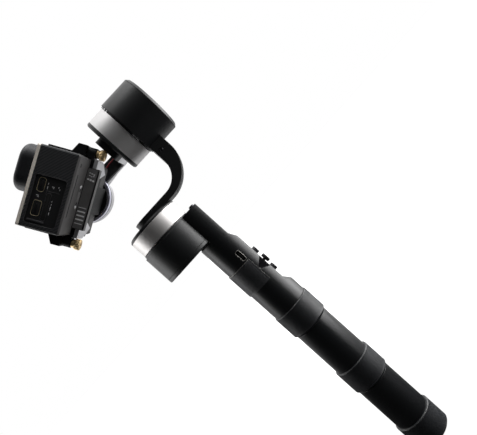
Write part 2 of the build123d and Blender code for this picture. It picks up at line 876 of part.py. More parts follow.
# ---------------------------------------------------------------- pitch arm
foot_in_x = foot_x - foot_thick
cup_x = pitch_x + pitch_housing_r
rotor_clear_r = pitch_rotor_r + hub_gap
with BuildPart() as pitch_arm:
    # the bent strip seen from above: foot, rounded corner, leg and gusset to the cup
    with BuildSketch(Plane.XY.offset(roll_z)):
        with BuildLine():
            Polyline(
                (foot_x, foot_split_y),
                (foot_x, leg_outer_y - leg_corner),
            )
            RadiusArc(
                (foot_x, leg_outer_y - leg_corner),
                (foot_x - leg_corner, leg_outer_y),
                -leg_corner,
            )
            Polyline(
                (foot_x - leg_corner, leg_outer_y),
                (foot_x - gusset_start, leg_outer_y),
                (cup_x, gusset_y),
                (cup_x - wall, gusset_y),
                (cup_x - wall, leg_skin_y),
                (foot_in_x, leg_skin_y),
                (foot_in_x, foot_split_y),
                (foot_x, foot_split_y),
            )
        make_face()
    extrude(amount=leg_half, both=True)
    # the foot widens towards the roll axis
    with BuildSketch(Plane.YZ.offset(foot_x)):
        with Locations((0, roll_z)):
            Polygon(
                (foot_split_y, -foot_half),
                (foot_split_y, foot_half),
                (leg_inner_y, leg_half),
                (leg_inner_y, -leg_half),
                align=None,
            )
    extrude(amount=-foot_thick)
    with BuildSketch(Plane.YZ.offset(foot_x)):
        with Locations((tongue_near_y, roll_z)):
            Rectangle(
                foot_split_y - tongue_near_y, 2 * tongue_half, align=(Align.MIN, Align.CENTER)
            )
    extrude(amount=-tongue_thick)
    # room for the cup, and for the rotor ring that turns in front of it
    with BuildSketch(pitch_seat):
        Circle(pitch_housing_r)
    extrude(amount=-pitch_housing_len, mode=Mode.SUBTRACT)
    with BuildSketch(pitch_seat):
        Circle(rotor_clear_r)
    extrude(amount=pitch_rotor_len, mode=Mode.SUBTRACT)
keep(pitch_arm, "pitch_arm")

with BuildPart() as pitch_arm_nose:
    with BuildSketch(Plane.YZ.offset(foot_x)):
        with Locations((0, roll_z)):
            Polygon(
                (foot_split_y, -foot_half),
                (foot_near_y, -foot_half),
                (foot_near_y, foot_half),
                (foot_split_y, foot_half),
                align=None,
            )
    extrude(amount=-foot_thick)
    fillet(pitch_arm_nose.edges().filter_by(Axis.X).group_by(Axis.Y)[0], leg_corner)
    with BuildSketch(Plane.YZ.offset(foot_x)):
        with Locations((tongue_near_y, roll_z)):
            Rectangle(
                foot_split_y - tongue_near_y, 2 * tongue_half, align=(Align.MIN, Align.CENTER)
            )
    extrude(amount=-tongue_thick, mode=Mode.SUBTRACT)
keep(pitch_arm_nose, "pitch_arm_nose")

with BuildPart() as pitch_arm_cover:
    with BuildSketch(Plane.XY.offset(roll_z)):
        Polygon(
            (foot_in_x, leg_inner_y),
            (foot_in_x, leg_skin_y),
            (cup_x, leg_skin_y),
            (cup_x, leg_inner_y),
            align=None,
        )
    extrude(amount=leg_half - cover_side_gap, both=True)
    with BuildSketch(pitch_seat):
        Circle(rotor_clear_r)
    extrude(amount=pitch_rotor_len, mode=Mode.SUBTRACT)
keep(pitch_arm_cover, "pitch_arm_cover")

# the pitch motor's lead: out of the foot, along the leg's cover and back into it
lead_route = [
    (foot_in_x, leg_inner_y - 0.9, roll_z + 1.8),
    (foot_in_x - 5.2, leg_inner_y - 0.9, roll_z + 1.8),
    (foot_in_x - 9.7, leg_inner_y - 0.7, roll_z + 1.2),
    (foot_in_x - 12.6, leg_inner_y + 1.4, roll_z + 0.7),
]


def bend_radii(route, share=0.45):
    """The largest bend at each inner corner that its two runs have room for."""
    points = [Vector(*point) for point in route]
    radii = []
    for before, corner, after in zip(points, points[1:], points[2:]):
        run_in = corner - before
        run_out = after - corner
        turn = radians(run_in.get_angle(run_out))
        radii.append(share * min(run_in.length, run_out.length) / tan(turn / 2))
    return radii


with BuildPart() as pitch_lead:
    with BuildLine() as lead_line:
        FilletPolyline(*lead_route, radius=bend_radii(lead_route))
    start = Vector(*lead_route[0])
    heading = Vector(*lead_route[1]) - start
    with BuildSketch(Plane(origin=start, z_dir=heading)):
        Circle(lead_dia / 2)
    sweep(path=lead_line.wires()[0])
keep(pitch_lead, "pitch_lead")

# ---------------------------------------------------------------- camera
tilt = radians(camera_tilt)
back_dir = Vector(cos(tilt), 0, -sin(tilt))
up_dir = Vector(sin(tilt), 0, cos(tilt))
pivot = Vector(pitch_x, 0, roll_z)
# sketches on the side plane have x to the camera's back, y up, and look along +Y
side = Plane(origin=pivot, x_dir=back_dir, z_dir=(0, -1, 0))
# sketches on the back plane have x along -Y and y up, and grow towards the back
rear = Plane(origin=pivot, x_dir=(0, -1, 0), z_dir=-back_dir)
top = Plane(origin=pivot, x_dir=back_dir, z_dir=up_dir)

disc_far_y = pitch_face_y - pitch_rotor_len
disc_near_y = disc_far_y - bracket_disc_thick
camera_far_y = disc_near_y - camera_side_gap
camera_near_y = camera_far_y - camera_wide
camera_mid = -camera_near_y - camera_wide / 2
half_deep = camera_deep / 2
half_tall = camera_tall / 2
lens_y = camera_near_y + lens_inset
shutter_y = camera_near_y + shutter_inset
knob_up = half_tall + knob_rise
ear_back = half_deep + ear_step
ear_front = ear_back - ear_len


def away(back):
    """The rear plane moved back by this much."""
    return rear.offset(-back)


with BuildPart() as camera_body:
    with BuildSketch(away(half_deep)):
        with Locations((camera_mid, 0)):
            RectangleRounded(camera_wide, camera_tall, camera_corner)
    extrude(amount=camera_deep - camera_front_thick)
    back_face = camera_body.faces().filter_by(Axis(pivot, back_dir)).sort_by(
        Axis(pivot, back_dir)
    )[-1]
    chamfer(back_face.edges(), camera_edge)
    # the open port bay on the near side
    with BuildSketch(side.offset(-camera_near_y)):
        with Locations(
            ((port_bay_front + port_bay_back) / 2, (port_bay_top + port_bay_low) / 2)
        ):
            RectangleRounded(
                port_bay_back - port_bay_front, port_bay_top - port_bay_low, port_bay_corner
            )
    extrude(amount=-port_bay_deep, mode=Mode.SUBTRACT)
    # the shutter button's well
    with BuildSketch(top.offset(half_tall)):
        with Locations((0, shutter_y)):
            Circle(shutter_dia / 2 + shutter_gap)
    extrude(amount=-shutter_depth, mode=Mode.SUBTRACT)
keep(camera_body, "camera_body")

with BuildPart() as camera_front:
    with BuildSketch(away(-half_deep + camera_front_thick)):
        with Locations((camera_mid, 0)):
            RectangleRounded(camera_wide, camera_tall, camera_corner)
    extrude(amount=camera_front_thick)
keep(camera_front, "camera_front")

with BuildPart() as lens_housing:
    with BuildSketch(away(-half_deep)):
        with Locations((-lens_y, lens_up)):
            RectangleRounded(lens_size, lens_size, lens_corner)
    extrude(amount=lens_proud)
    lens_face = lens_housing.faces().sort_by(Axis(pivot, back_dir))[0]
    fillet(lens_face.edges(), lens_edge)
    with BuildSketch(away(-half_deep - lens_proud)):
        with Locations((-lens_y, lens_up)):
            Circle(glass_dia / 2)
    extrude(amount=-glass_recess, mode=Mode.SUBTRACT)
keep(lens_housing, "lens_housing")

with BuildPart() as lens_glass:
    with BuildSketch(away(-half_deep - lens_proud + glass_recess)):
        with Locations((-lens_y, lens_up)):
            Circle(glass_dia / 2)
    extrude(amount=glass_thick)
keep(lens_glass, "lens_glass")

with BuildPart() as shutter_button:
    with BuildSketch(top.offset(half_tall + shutter_rise)):
        with Locations((0, shutter_y)):
            Circle(shutter_dia / 2)
    extrude(amount=-(shutter_depth + shutter_rise - shutter_travel - shutter_gap))
    chamfer(
        shutter_button.faces().sort_by(Axis(pivot, up_dir))[-1].edges(), shutter_rise / 2
    )
keep(shutter_button, "shutter_button")

# ---------------------------------------------------------------- cradle
bracket_back = half_deep + bracket_thick
plate_back = bracket_back + plate_thick
bracket_half = half_tall + bracket_over
plate_half = half_tall + plate_over
with BuildPart() as cradle_bracket:
    with BuildSketch(away(bracket_back)):
        with Locations(((-bracket_near_y - bracket_low_y) / 2, 0)):
            Rectangle(bracket_low_y - bracket_near_y, 2 * bracket_half)
        with Locations((-bracket_low_y, 0)):
            Rectangle(
                disc_far_y - bracket_low_y, 2 * bracket_neck_half,
                align=(Align.MAX, Align.CENTER),
            )
    extrude(amount=bracket_thick)
    # the disc screwed to the pitch rotor
    with BuildSketch(side.offset(-disc_far_y)):
        Circle(bracket_disc_dia / 2)
    extrude(amount=disc_far_y - disc_near_y)
    # ears for the two thumb screws
    for sign in (-1, 1):
        with BuildSketch(away(ear_back)):
            with Locations((-knob_y, sign * knob_up)):
                Circle(ear_half)
            with Locations((-knob_y, sign * (half_tall + strap_gap + knob_up) / 2)):
                Rectangle(2 * ear_half, knob_up - half_tall - strap_gap)
        extrude(amount=ear_back - ear_front)
        with BuildSketch(away(bracket_back)):
            with Locations((-knob_y, sign * (half_tall + strap_gap + bracket_half) / 2)):
                Rectangle(2 * ear_half, bracket_half - half_tall + strap_gap)
        extrude(amount=bracket_thick)
        with BuildSketch(away(bracket_back)):
            with Locations((-knob_y, sign * knob_up)):
                Circle(clamp_screw_dia / 2 + clamp_hole_gap)
        extrude(amount=camera_deep, mode=Mode.SUBTRACT)
keep(cradle_bracket, "cradle_bracket")

with BuildPart() as cradle_plate:
    with BuildSketch(away(plate_back)):
        with BuildLine():
            Polyline(
                (-bracket_near_y, plate_half),
                (-wing_start_y, plate_half),
                (-wing_tip_y, wing_tip_up),
                (-wing_root_y, wing_root_up),
                (-wing_root_y, -wing_root_up),
                (-wing_tip_y, -wing_tip_up),
                (-wing_start_y, -plate_half),
                (-bracket_near_y, -plate_half),
                close=True,
            )
        make_face()
        for sign in (-1, 1):
            with Locations((-knob_y, sign * knob_up)):
                Circle(knob_dia / 2 + 2 * clamp_hole_gap, mode=Mode.SUBTRACT)
    extrude(amount=plate_thick)
keep(cradle_plate, "cradle_plate")

with BuildPart() as sensor_box:
    with BuildSketch(side.offset(-box_lip_y)):
        with Locations((half_deep + box_thick / 2, 0)):
            Rectangle(box_thick, 2 * box_half)
    extrude(amount=box_lip_y - bracket_near_y)
    with BuildSketch(side.offset(-box_far_y)):
        with Locations(((plate_back + half_deep + box_thick) / 2, 0)):
            Rectangle(half_deep + box_thick - plate_back, 2 * box_half)
    extrude(amount=box_far_y - bracket_near_y)
keep(sensor_box, "sensor_box")

knob_low = ear_back + washer_thick
claw_back = ear_front - claw_gap
claw_front = claw_back - claw_len
clamp_screw_end = claw_front + clamp_screw_inset
for name, sign in (("thumb_screw_top", 1), ("thumb_screw_bottom", -1)):
    turned(
        name,
        Plane(
            origin=pivot + up_dir * (sign * knob_up) + Vector(0, knob_y, 0),
            x_dir=(0, -1, 0),
            z_dir=back_dir,
        ),
        [
            (0, clamp_screw_end),
            (clamp_screw_dia / 2, clamp_screw_end),
            (clamp_screw_dia / 2, ear_back + washer_gap),
            (washer_dia / 2, ear_back + washer_gap),
            (washer_dia / 2, knob_low),
            (knob_dia / 2, knob_low),
            (knob_dia / 2, knob_low + knob_len - edge_break),
            (knob_dia / 2 - edge_break, knob_low + knob_len),
            (0, knob_low + knob_len),
        ],
    )

strap_in = half_tall + strap_gap
strap_out = strap_in + strap_thick
strap_front = -half_deep - strap_gap - strap_thick
strap_back = ear_front - strap_gap
strap_bar_near_y = lens_y + lens_size / 2 + strap_bar_gap
strap_far_y = strap_bar_near_y + strap_bar_wide
with BuildPart() as clamp_strap:
    for sign in (-1, 1):
        # the flat run over the camera's edge
        with BuildSketch(side.offset(-strap_near_y)):
            with Locations(((strap_front + strap_back) / 2, sign * (strap_in + strap_out) / 2)):
                Rectangle(strap_back - strap_front, strap_thick)
        extrude(amount=-(strap_far_y - strap_near_y))
        # the claw that the thumb screw pulls on
        with BuildSketch(side.offset(-strap_near_y)):
            Polygon(
                (claw_front, sign * strap_out),
                (claw_front + claw_slope, sign * (strap_out + claw_rise)),
                (claw_back, sign * (strap_out + claw_rise)),
                (claw_back, sign * strap_out),
                align=None,
            )
        extrude(amount=-(claw_far_y - strap_near_y))
    # the bar down the camera's front, beside the lens
    with BuildSketch(side.offset(-strap_bar_near_y)):
        with Locations((strap_front + strap_thick / 2, 0)):
            Rectangle(strap_thick, 2 * strap_out)
    extrude(amount=-strap_bar_wide)
    for sign in (-1, 1):
        with BuildSketch(away(claw_back)):
            with Locations((-knob_y, sign * knob_up)):
                Circle(clamp_screw_dia / 2 + clamp_screw_fit)
        extrude(amount=claw_len, mode=Mode.SUBTRACT)
keep(clamp_strap, "clamp_strap")

# ---------------------------------------------------------------- output
os.makedirs("parts", exist_ok=True)
for part in pieces:
    export_step(part, f"parts/{part.label}.step")
print(len(pieces), "pieces")
print("pan axis", -pan_offset, "roll axis", roll_z, "pitch axis", pitch_x)
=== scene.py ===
import json
import math

import bmesh
import bpy
from mathutils import Matrix, Vector


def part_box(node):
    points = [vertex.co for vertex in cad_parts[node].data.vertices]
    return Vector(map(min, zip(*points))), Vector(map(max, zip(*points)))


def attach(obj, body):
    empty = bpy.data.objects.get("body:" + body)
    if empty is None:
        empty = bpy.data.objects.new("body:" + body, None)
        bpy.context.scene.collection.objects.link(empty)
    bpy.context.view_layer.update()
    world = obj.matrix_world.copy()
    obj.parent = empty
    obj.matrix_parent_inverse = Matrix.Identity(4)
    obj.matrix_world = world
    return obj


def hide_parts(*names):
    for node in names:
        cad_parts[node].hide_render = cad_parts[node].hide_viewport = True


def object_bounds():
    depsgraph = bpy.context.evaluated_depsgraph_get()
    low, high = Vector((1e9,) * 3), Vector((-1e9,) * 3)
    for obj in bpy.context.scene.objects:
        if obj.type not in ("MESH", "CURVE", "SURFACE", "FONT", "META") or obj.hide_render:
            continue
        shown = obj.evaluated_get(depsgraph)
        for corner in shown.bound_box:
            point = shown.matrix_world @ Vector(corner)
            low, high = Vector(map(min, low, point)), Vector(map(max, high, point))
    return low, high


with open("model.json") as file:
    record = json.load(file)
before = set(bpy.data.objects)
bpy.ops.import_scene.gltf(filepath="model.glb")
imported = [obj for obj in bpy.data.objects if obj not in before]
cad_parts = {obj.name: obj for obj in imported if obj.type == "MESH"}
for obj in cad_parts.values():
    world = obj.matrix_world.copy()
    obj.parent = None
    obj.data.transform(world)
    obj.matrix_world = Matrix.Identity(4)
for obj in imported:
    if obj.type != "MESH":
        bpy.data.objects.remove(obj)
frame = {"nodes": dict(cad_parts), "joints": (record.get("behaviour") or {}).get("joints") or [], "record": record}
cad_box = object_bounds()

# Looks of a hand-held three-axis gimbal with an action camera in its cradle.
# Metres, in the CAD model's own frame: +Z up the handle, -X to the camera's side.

MM = 0.001
nodes = frame["nodes"]
joints = {joint["name"]: joint for joint in frame["joints"]}
X, Y, Z = Vector((1, 0, 0)), Vector((0, 1, 0)), Vector((0, 0, 1))
ORIGIN = Vector((0, 0, 0))

# ---------------------------------------------------------------- places worked out from the frame
PAN = Vector(joints["pan"]["pos_m"])
ROLL = Vector(joints["roll"]["pos_m"])
PITCH = Vector(joints["pitch"]["pos_m"])
PIVOT = Vector((PITCH.x, 0, PITCH.z))
BACK = -Vector(joints["strap_slide"]["axis"]).normalized()  # from the camera's lens to its back
UP = -Vector(joints["shutter_press"]["axis"]).normalized()  # the camera's own up


def span(node, direction, origin=PIVOT):
    """How far a node reaches each way along a direction, in millimetres from an origin."""
    reach = [(v.co - origin).dot(direction) / MM for v in nodes[node].data.vertices]
    return min(reach), max(reach)


def bore_of(node):
    """The least radius of a node's surface about the handle's axis, in millimetres."""
    return min(math.hypot(v.co.x, v.co.y) for v in nodes[node].data.vertices) / MM


def seat(origin, x_axis, z_axis):
    """A working frame in millimetres: local x and z lie along the two given directions."""
    z_axis = z_axis.normalized()
    x_axis = (x_axis - z_axis * x_axis.dot(z_axis)).normalized()
    axes = Matrix((x_axis, z_axis.cross(x_axis), z_axis)).transposed().to_4x4()
    return Matrix.Translation(origin) @ axes @ Matrix.Scale(MM, 4)


HANDLE = seat(ORIGIN, X, Z)
YAW = seat(Vector((PAN.x, 0, 0)), X, Z)
ROLL_SEAT = seat(Vector((0, 0, ROLL.z)), Z, -X)
PITCH_SEAT = seat(Vector((PITCH.x, 0, PITCH.z)), X, -Y)
NEAR = seat(PIVOT, BACK, -Y)  # the camera's port side: x to its back, y up, z outwards
REAR = seat(PIVOT, Y, BACK)  # the camera's back: x away from the ports, y up, z outwards
FRONT = seat(PIVOT, -Y, -BACK)  # the camera's front: x towards the ports, y up, z outwards

# ---------------------------------------------------------------- materials
def shader(name, base, rough, metal=0.0, **sockets):
    """A Principled material; constant values go straight on its sockets."""
    mat = bpy.data.materials.new(name)
    mat.use_nodes = True
    bsdf = mat.node_tree.nodes["Principled BSDF"]
    bsdf.inputs["Base Color"].default_value = (*base, 1)
    bsdf.inputs["Roughness"].default_value = rough
    bsdf.inputs["Metallic"].default_value = metal
    for socket, value in sockets.items():
        bsdf.inputs[socket.replace("_", " ")].default_value = value
    return mat


def add(mat, kind, **values):
    """A node in the material's tree, with some of its properties set."""
    node = mat.node_tree.nodes.new(kind)
    for key, value in values.items():
        setattr(node, key, value)
    return node


def link(mat, out, into):
    mat.node_tree.links.new(out, into)


def bsdf_of(mat):
    return mat.node_tree.nodes["Principled BSDF"]


def maths(mat, operation, *values):
    """A Math node; each value is a number or another node's output."""
    node = add(mat, "ShaderNodeMath", operation=operation)
    for index, value in enumerate(values):
        if isinstance(value, (int, float)):
            node.inputs[index].default_value = value
        else:
            link(mat, value, node.inputs[index])
    return node.outputs[0]


def object_point(mat, scale=(1, 1, 1)):
    """The surface point in the row frame's metres, times a scale."""
    where = add(mat, "ShaderNodeTexCoord")
    mapping = add(mat, "ShaderNodeMapping")
    mapping.inputs["Scale"].default_value = scale
    link(mat, where.outputs["Object"], mapping.inputs["Vector"])
    return mapping.outputs["Vector"]


def noise(mat, scale, detail=3.0, stretch=(1, 1, 1)):
    node = add(mat, "ShaderNodeTexNoise")
    node.inputs["Scale"].default_value = scale
    node.inputs["Detail"].default_value = detail
    link(mat, object_point(mat, stretch), node.inputs["Vector"])
    return node.outputs["Fac"]


def along(mat, direction, origin=ORIGIN):
    """How far the surface point lies along a direction, in millimetres."""
    shift = add(mat, "ShaderNodeVectorMath", operation="SUBTRACT")
    link(mat, object_point(mat), shift.inputs[0])
    shift.inputs[1].default_value = origin
    dot = add(mat, "ShaderNodeVectorMath", operation="DOT_PRODUCT")
    link(mat, shift.outputs["Vector"], dot.inputs[0])
    dot.inputs[1].default_value = direction / MM
    return dot.outputs["Value"]


def bump(mat, height, distance, strength=1.0, edge_radius=0.0):
    """Bump from a height; an edge radius also softens the edges' shading."""
    node = add(mat, "ShaderNodeBump")
    node.inputs["Strength"].default_value = strength
    node.inputs["Distance"].default_value = distance
    link(mat, height, node.inputs["Height"])
    if edge_radius:
        bevel = add(mat, "ShaderNodeBevel", samples=6)
        bevel.inputs["Radius"].default_value = edge_radius
        link(mat, bevel.outputs["Normal"], node.inputs["Normal"])
    link(mat, node.outputs["Normal"], bsdf_of(mat).inputs["Normal"])


def vary(mat, socket, source, low, high):
    """Drives a socket between two values by a 0 to 1 source."""
    remap = add(mat, "ShaderNodeMapRange")
    remap.inputs["To Min"].default_value = low
    remap.inputs["To Max"].default_value = high
    link(mat, source, remap.inputs["Value"])
    link(mat, remap.outputs["Result"], bsdf_of(mat).inputs[socket])


def tint(mat, source, first, second, low=0.3, high=0.7):
    """Mixes the base colour between two colours by a 0 to 1 source."""
    ramp = add(mat, "ShaderNodeValToRGB")
    ramp.color_ramp.elements[0].color = (*first, 1)
    ramp.color_ramp.elements[0].position = low
    ramp.color_ramp.elements[1].color = (*second, 1)
    ramp.color_ramp.elements[1].position = high
    link(mat, source, ramp.inputs["Fac"])
    link(mat, ramp.outputs["Color"], bsdf_of(mat).inputs["Base Color"])


def scaled(colour, factor):
    return tuple(channel * factor for channel in colour)


def anodised(name, base, rough, grain_depth=0.00003, edge_radius=0.0004):
    """Bead-blasted, anodised aluminium: fine grain, faint clouds, edges rounded in their shading."""
    mat = shader(name, base, rough)
    tint(mat, noise(mat, 90, 4), base, scaled(base, 1.4))
    vary(mat, "Roughness", noise(mat, 900, 3), rough - 0.05, rough + 0.06)
    bump(mat, noise(mat, 5200, 2), grain_depth, 0.35, edge_radius)
    return mat


def turned_metal(name, base, rough, axis, lines=4200):
    """Bright turned aluminium: hair lines round the given axis."""
    mat = shader(name, base, rough, 1.0)
    stretch = [60 + abs(axis[i]) * lines for i in range(3)]
    hair = noise(mat, 1.0, 3, stretch)
    vary(mat, "Roughness", hair, rough - 0.06, rough + 0.10)
    tint(mat, noise(mat, 45, 3), base, scaled(base, 0.93))
    bump(mat, hair, 0.00001, 0.5, 0.0003)
    return mat


def plastic(name, base, rough, edge_radius=0.0003):
    """Moulded plastic with a fine spark-eroded texture."""
    mat = shader(name, base, rough)
    tint(mat, noise(mat, 140, 3), base, scaled(base, 1.25))
    vary(mat, "Roughness", noise(mat, 1200, 2), rough - 0.05, rough + 0.07)
    bump(mat, noise(mat, 3600, 3), 0.00003, 0.4, edge_radius)
    return mat


def worn_metal(name, base, rough):
    """Plain bright metal with light handling marks."""
    mat = shader(name, base, rough, 1.0)
    vary(mat, "Roughness", noise(mat, 700, 4), rough - 0.07, rough + 0.12)
    tint(mat, noise(mat, 200, 3), base, scaled(base, 0.82))
    bump(mat, noise(mat, 3000, 2), 0.00001, 0.3, 0.0002)
    return mat


def lens_material():
    """Coated glass over a dark barrel, as one deep glossy surface with a faint violet bloom."""
    mat = shader("lens_glass", (0.004, 0.005, 0.008), 0.05, 0.0, Coat_Weight=1.0)
    tint(mat, noise(mat, 60, 1), (0.004, 0.004, 0.010), (0.012, 0.006, 0.020))
    vary(mat, "Roughness", noise(mat, 300, 2), 0.02, 0.06)
    return mat


def twill_material():
    """The camera's sides, moulded as a fine twill weave, with a plain grey back."""
    strand = 0.43  # width of one woven strand, millimetres
    woven_half = 26.0  # how far from the middle the long sides are woven, millimetres
    port_face = span("camera_body", -Y)[1]
    mat = shader("camera_twill", (0.02, 0.022, 0.026), 0.42)
    across = maths(mat, "DIVIDE", along(mat, BACK, PIVOT), strand)
    upward = maths(mat, "DIVIDE", along(mat, UP, PIVOT), strand)
    sideways = maths(mat, "DIVIDE", along(mat, Y, PIVOT), strand)
    step = maths(mat, "SUBTRACT", maths(mat, "ADD", upward, sideways), across)
    ridge = maths(mat, "FLOORED_MODULO", step, 4.0)
    wave = maths(mat, "SINE", maths(mat, "MULTIPLY", ridge, math.pi / 4))
    nick = maths(mat, "FRACT", maths(mat, "ADD", maths(mat, "ADD", across, upward), sideways))
    notch = maths(mat, "SMOOTH_MIN", nick, maths(mat, "SUBTRACT", 1.0, nick), 0.2)
    height = maths(mat, "MULTIPLY", wave, maths(mat, "ADD", 0.7, notch))
    where = add(mat, "ShaderNodeTexCoord")
    facing = add(mat, "ShaderNodeVectorMath", operation="DOT_PRODUCT")
    link(mat, where.outputs["Normal"], facing.inputs[0])
    facing.inputs[1].default_value = BACK
    on_back = maths(mat, "GREATER_THAN", facing.outputs["Value"], 0.6)
    bay = maths(mat, "GREATER_THAN", along(mat, -Y, PIVOT), port_face - 0.4)
    sides = maths(mat, "LESS_THAN", maths(mat, "ABSOLUTE", along(mat, Y, PIVOT)), woven_half)
    weave_here = maths(mat, "MAXIMUM", bay, sides)
    weave_here = maths(mat, "MULTIPLY", weave_here, maths(mat, "SUBTRACT", 1.0, on_back))
    raised = maths(mat, "MULTIPLY", height, weave_here)
    # The weave's colour follows its relief: the twill pattern itself, plus painted shade darker in the low parts
    # and lighter on the raised strands.
    weave = add(mat, "ShaderNodeValToRGB")
    weave.color_ramp.elements[0].color = (0.0045, 0.005, 0.006, 1)
    weave.color_ramp.elements[1].color = (0.034, 0.036, 0.040, 1)
    link(mat, raised, weave.inputs["Fac"])
    mix = add(mat, "ShaderNodeMix", data_type="RGBA")
    link(mat, on_back, mix.inputs[0])
    link(mat, weave.outputs["Color"], mix.inputs[6])
    mix.inputs[7].default_value = (0.052, 0.050, 0.050, 1)
    link(mat, mix.outputs[2], bsdf_of(mat).inputs["Base Color"])
    fine = maths(mat, "MULTIPLY", noise(mat, 5000, 2), 0.15)
    bump(mat, maths(mat, "ADD", raised, fine), 0.00008, 0.7, 0.0004)
    vary(mat, "Roughness", noise(mat, 1500, 2), 0.5, 0.62)
    return mat


BLACK = (0.0045, 0.0050, 0.0058)
FINISH = {
    "tube_black": anodised("tube_black", BLACK, 0.30, grain_depth=0.000006),
    "body_black": anodised("body_black", scaled(BLACK, 0.9), 0.34, grain_depth=0.00001),
    "motor_black": anodised("motor_black", BLACK, 0.40, grain_depth=0.00001),
    "arm_black": anodised("arm_black", scaled(BLACK, 0.8), 0.45),
    "bracket_black": anodised("bracket_black", scaled(BLACK, 0.5), 0.50),
    "knurled_black": anodised("knurled_black", (0.013, 0.014, 0.016), 0.45, edge_radius=0.0001),
    "cover_black": plastic("cover_black", (0.007, 0.008, 0.009), 0.5),
    "button_plastic": plastic("button_plastic", (0.012, 0.012, 0.015), 0.42),
    "sensor_grey": plastic("sensor_grey", (0.10, 0.098, 0.098), 0.55),
    "camera_trim": plastic("camera_trim", (0.03, 0.03, 0.033), 0.45),
    "lens_black": plastic("lens_black", (0.007, 0.008, 0.011), 0.46, edge_radius=0.0006),
    "red_insulation": plastic("red_insulation", (0.20, 0.004, 0.007), 0.38),
    "seal_rubber": plastic("seal_rubber", (0.02, 0.02, 0.02), 0.7),
    "circuit_board": plastic("circuit_board", (0.015, 0.09, 0.045), 0.35),
    "cell_wrap": plastic("cell_wrap", (0.04, 0.14, 0.36), 0.3),
    "brass": worn_metal("brass", (0.88, 0.66, 0.36), 0.36),
    "contact_brass": worn_metal("contact_brass", (0.82, 0.64, 0.34), 0.25),
    "bright_steel": worn_metal("bright_steel", (0.66, 0.66, 0.67), 0.25),
    "dark_steel": worn_metal("dark_steel", (0.05, 0.05, 0.055), 0.35),
    "magnet_steel": worn_metal("magnet_steel", (0.60, 0.60, 0.61), 0.15),
    "lamination_steel": turned_metal("lamination_steel", (0.32, 0.32, 0.33), 0.40, Z),
    "copper_wire": turned_metal("copper_wire", (0.75, 0.36, 0.20), 0.30, Z, 9000),
    "camera_champagne": plastic("camera_champagne", (0.92, 0.85, 0.76), 0.42),
    "silver_aluminium": turned_metal("silver_aluminium", (0.66, 0.66, 0.68), 0.42, Y),
    "lens_glass": lens_material(),
    "camera_black": twill_material(),
}
silver_for_axis = {
    "yaw_rotor": turned_metal("silver_yaw", (0.72, 0.70, 0.69), 0.46, Z),
    "roll_rotor": turned_metal("silver_roll", (0.72, 0.71, 0.71), 0.46, X),
    "pitch_rotor": turned_metal("silver_pitch", (0.78, 0.78, 0.90), 0.40, Y),
}
# Pure black put where only shade shows, inside holes, slits, socket mouths and gaps: painted shade. The same black
# also draws the dark joint lines round the motors and the frame on the sensor box.
SHADE_AND_JOINT_BLACK = plastic("painted_shade_and_joint_black", (0.002, 0.002, 0.002), 0.85)
INK = plastic("pale_ink", (0.60, 0.60, 0.61), 0.6)
# A dull metal laid on chamfers and rims as a painted edge highlight; the charging port's shell wears it as its own
# metal.
EDGE_HIGHLIGHT_AND_SHELL_METAL = worn_metal("bright_edge_metal", (0.34, 0.33, 0.31), 0.5)
LAMP = plastic("lamp_lens", (0.20, 0.30, 0.34), 0.2)
GILT = worn_metal("gilt_rim", (0.62, 0.54, 0.38), 0.42)
BAND = anodised("band_black", (0.030, 0.031, 0.034), 0.42, edge_radius=0.0001)
bsdf_of(FINISH["bracket_black"]).inputs["Specular IOR Level"].default_value = 0.2
slot_of = {part["node"]: part["material_slot"] for part in frame["record"]["subparts"]}


def dress(obj, mat):
    """Gives an object exactly one material."""
    obj.data.materials.clear()
    obj.data.materials.append(mat)


for name, obj in nodes.items():
    dress(obj, silver_for_axis.get(name, FINISH[slot_of[name]]))


# ---------------------------------------------------------------- mesh helpers, all in millimetres
def circle(radius, height, steps=48, centre=(0, 0)):
    """A ring of points at one height of a seat."""
    x, y = centre
    turn = [2 * math.pi * i / steps for i in range(steps)]
    return [Vector((x + radius * math.cos(a), y + radius * math.sin(a), height)) for a in turn]


def hexagon(radius, height, steps=48, centre=(0, 0)):
    """A six-sided ring with as many points as a circle has."""
    sixth = math.pi / 3
    points = []
    for point in circle(radius, height, steps):
        angle = (math.atan2(point.y, point.x) + sixth / 2) % sixth - sixth / 2
        reach = math.cos(sixth / 2) / math.cos(angle)
        points.append(Vector((centre[0] + point.x * reach, centre[1] + point.y * reach, height)))
    return points


def rounded(wide, tall, corner, height, centre=(0, 0)):
    """A rounded rectangle of points at one height of a seat."""
    steps = 6  # spans in each corner
    corner = max(min(corner, wide / 2 - 0.001, tall / 2 - 0.001), 0.001)
    points = []
    for quarter, (sx, sy) in enumerate(((1, 1), (-1, 1), (-1, -1), (1, -1))):
        for i in range(steps + 1):
            angle = (quarter + i / steps) * math.pi / 2
            x = sx * (wide / 2 - corner) + corner * math.cos(angle)
            y = sy * (tall / 2 - corner) + corner * math.sin(angle)
            points.append(Vector((centre[0] + x, centre[1] + y, height)))
    return points


def skin(bm, rings, loop=False):
    """Joins rings of points with faces; the ends are capped unless the rings make a loop."""
    rows = [[bm.verts.new(point) for point in ring] for ring in rings]
    pairs = list(zip(rows, rows[1:])) + ([(rows[-1], rows[0])] if loop else [])
    for low, high in pairs:
        for i in range(len(low)):
            j = (i + 1) % len(low)
            bm.faces.new((low[i], low[j], high[j], high[i]))
    if not loop:
        bm.faces.new(list(reversed(rows[0])))
        bm.faces.new(rows[-1])


def slab(bm, wide, tall, corner, low, high, edge, centre=(0, 0)):
    """A rounded plate whose upper edge is rounded over."""
    rings = [rounded(wide, tall, corner, low, centre)]
    for i in range(4):
        angle = i / 3 * math.pi / 2
        inset = edge * (1 - math.cos(angle))
        rise = high - edge + edge * math.sin(angle)
        rings.append(rounded(wide - 2 * inset, tall - 2 * inset, corner - inset, rise, centre))
    skin(bm, rings)


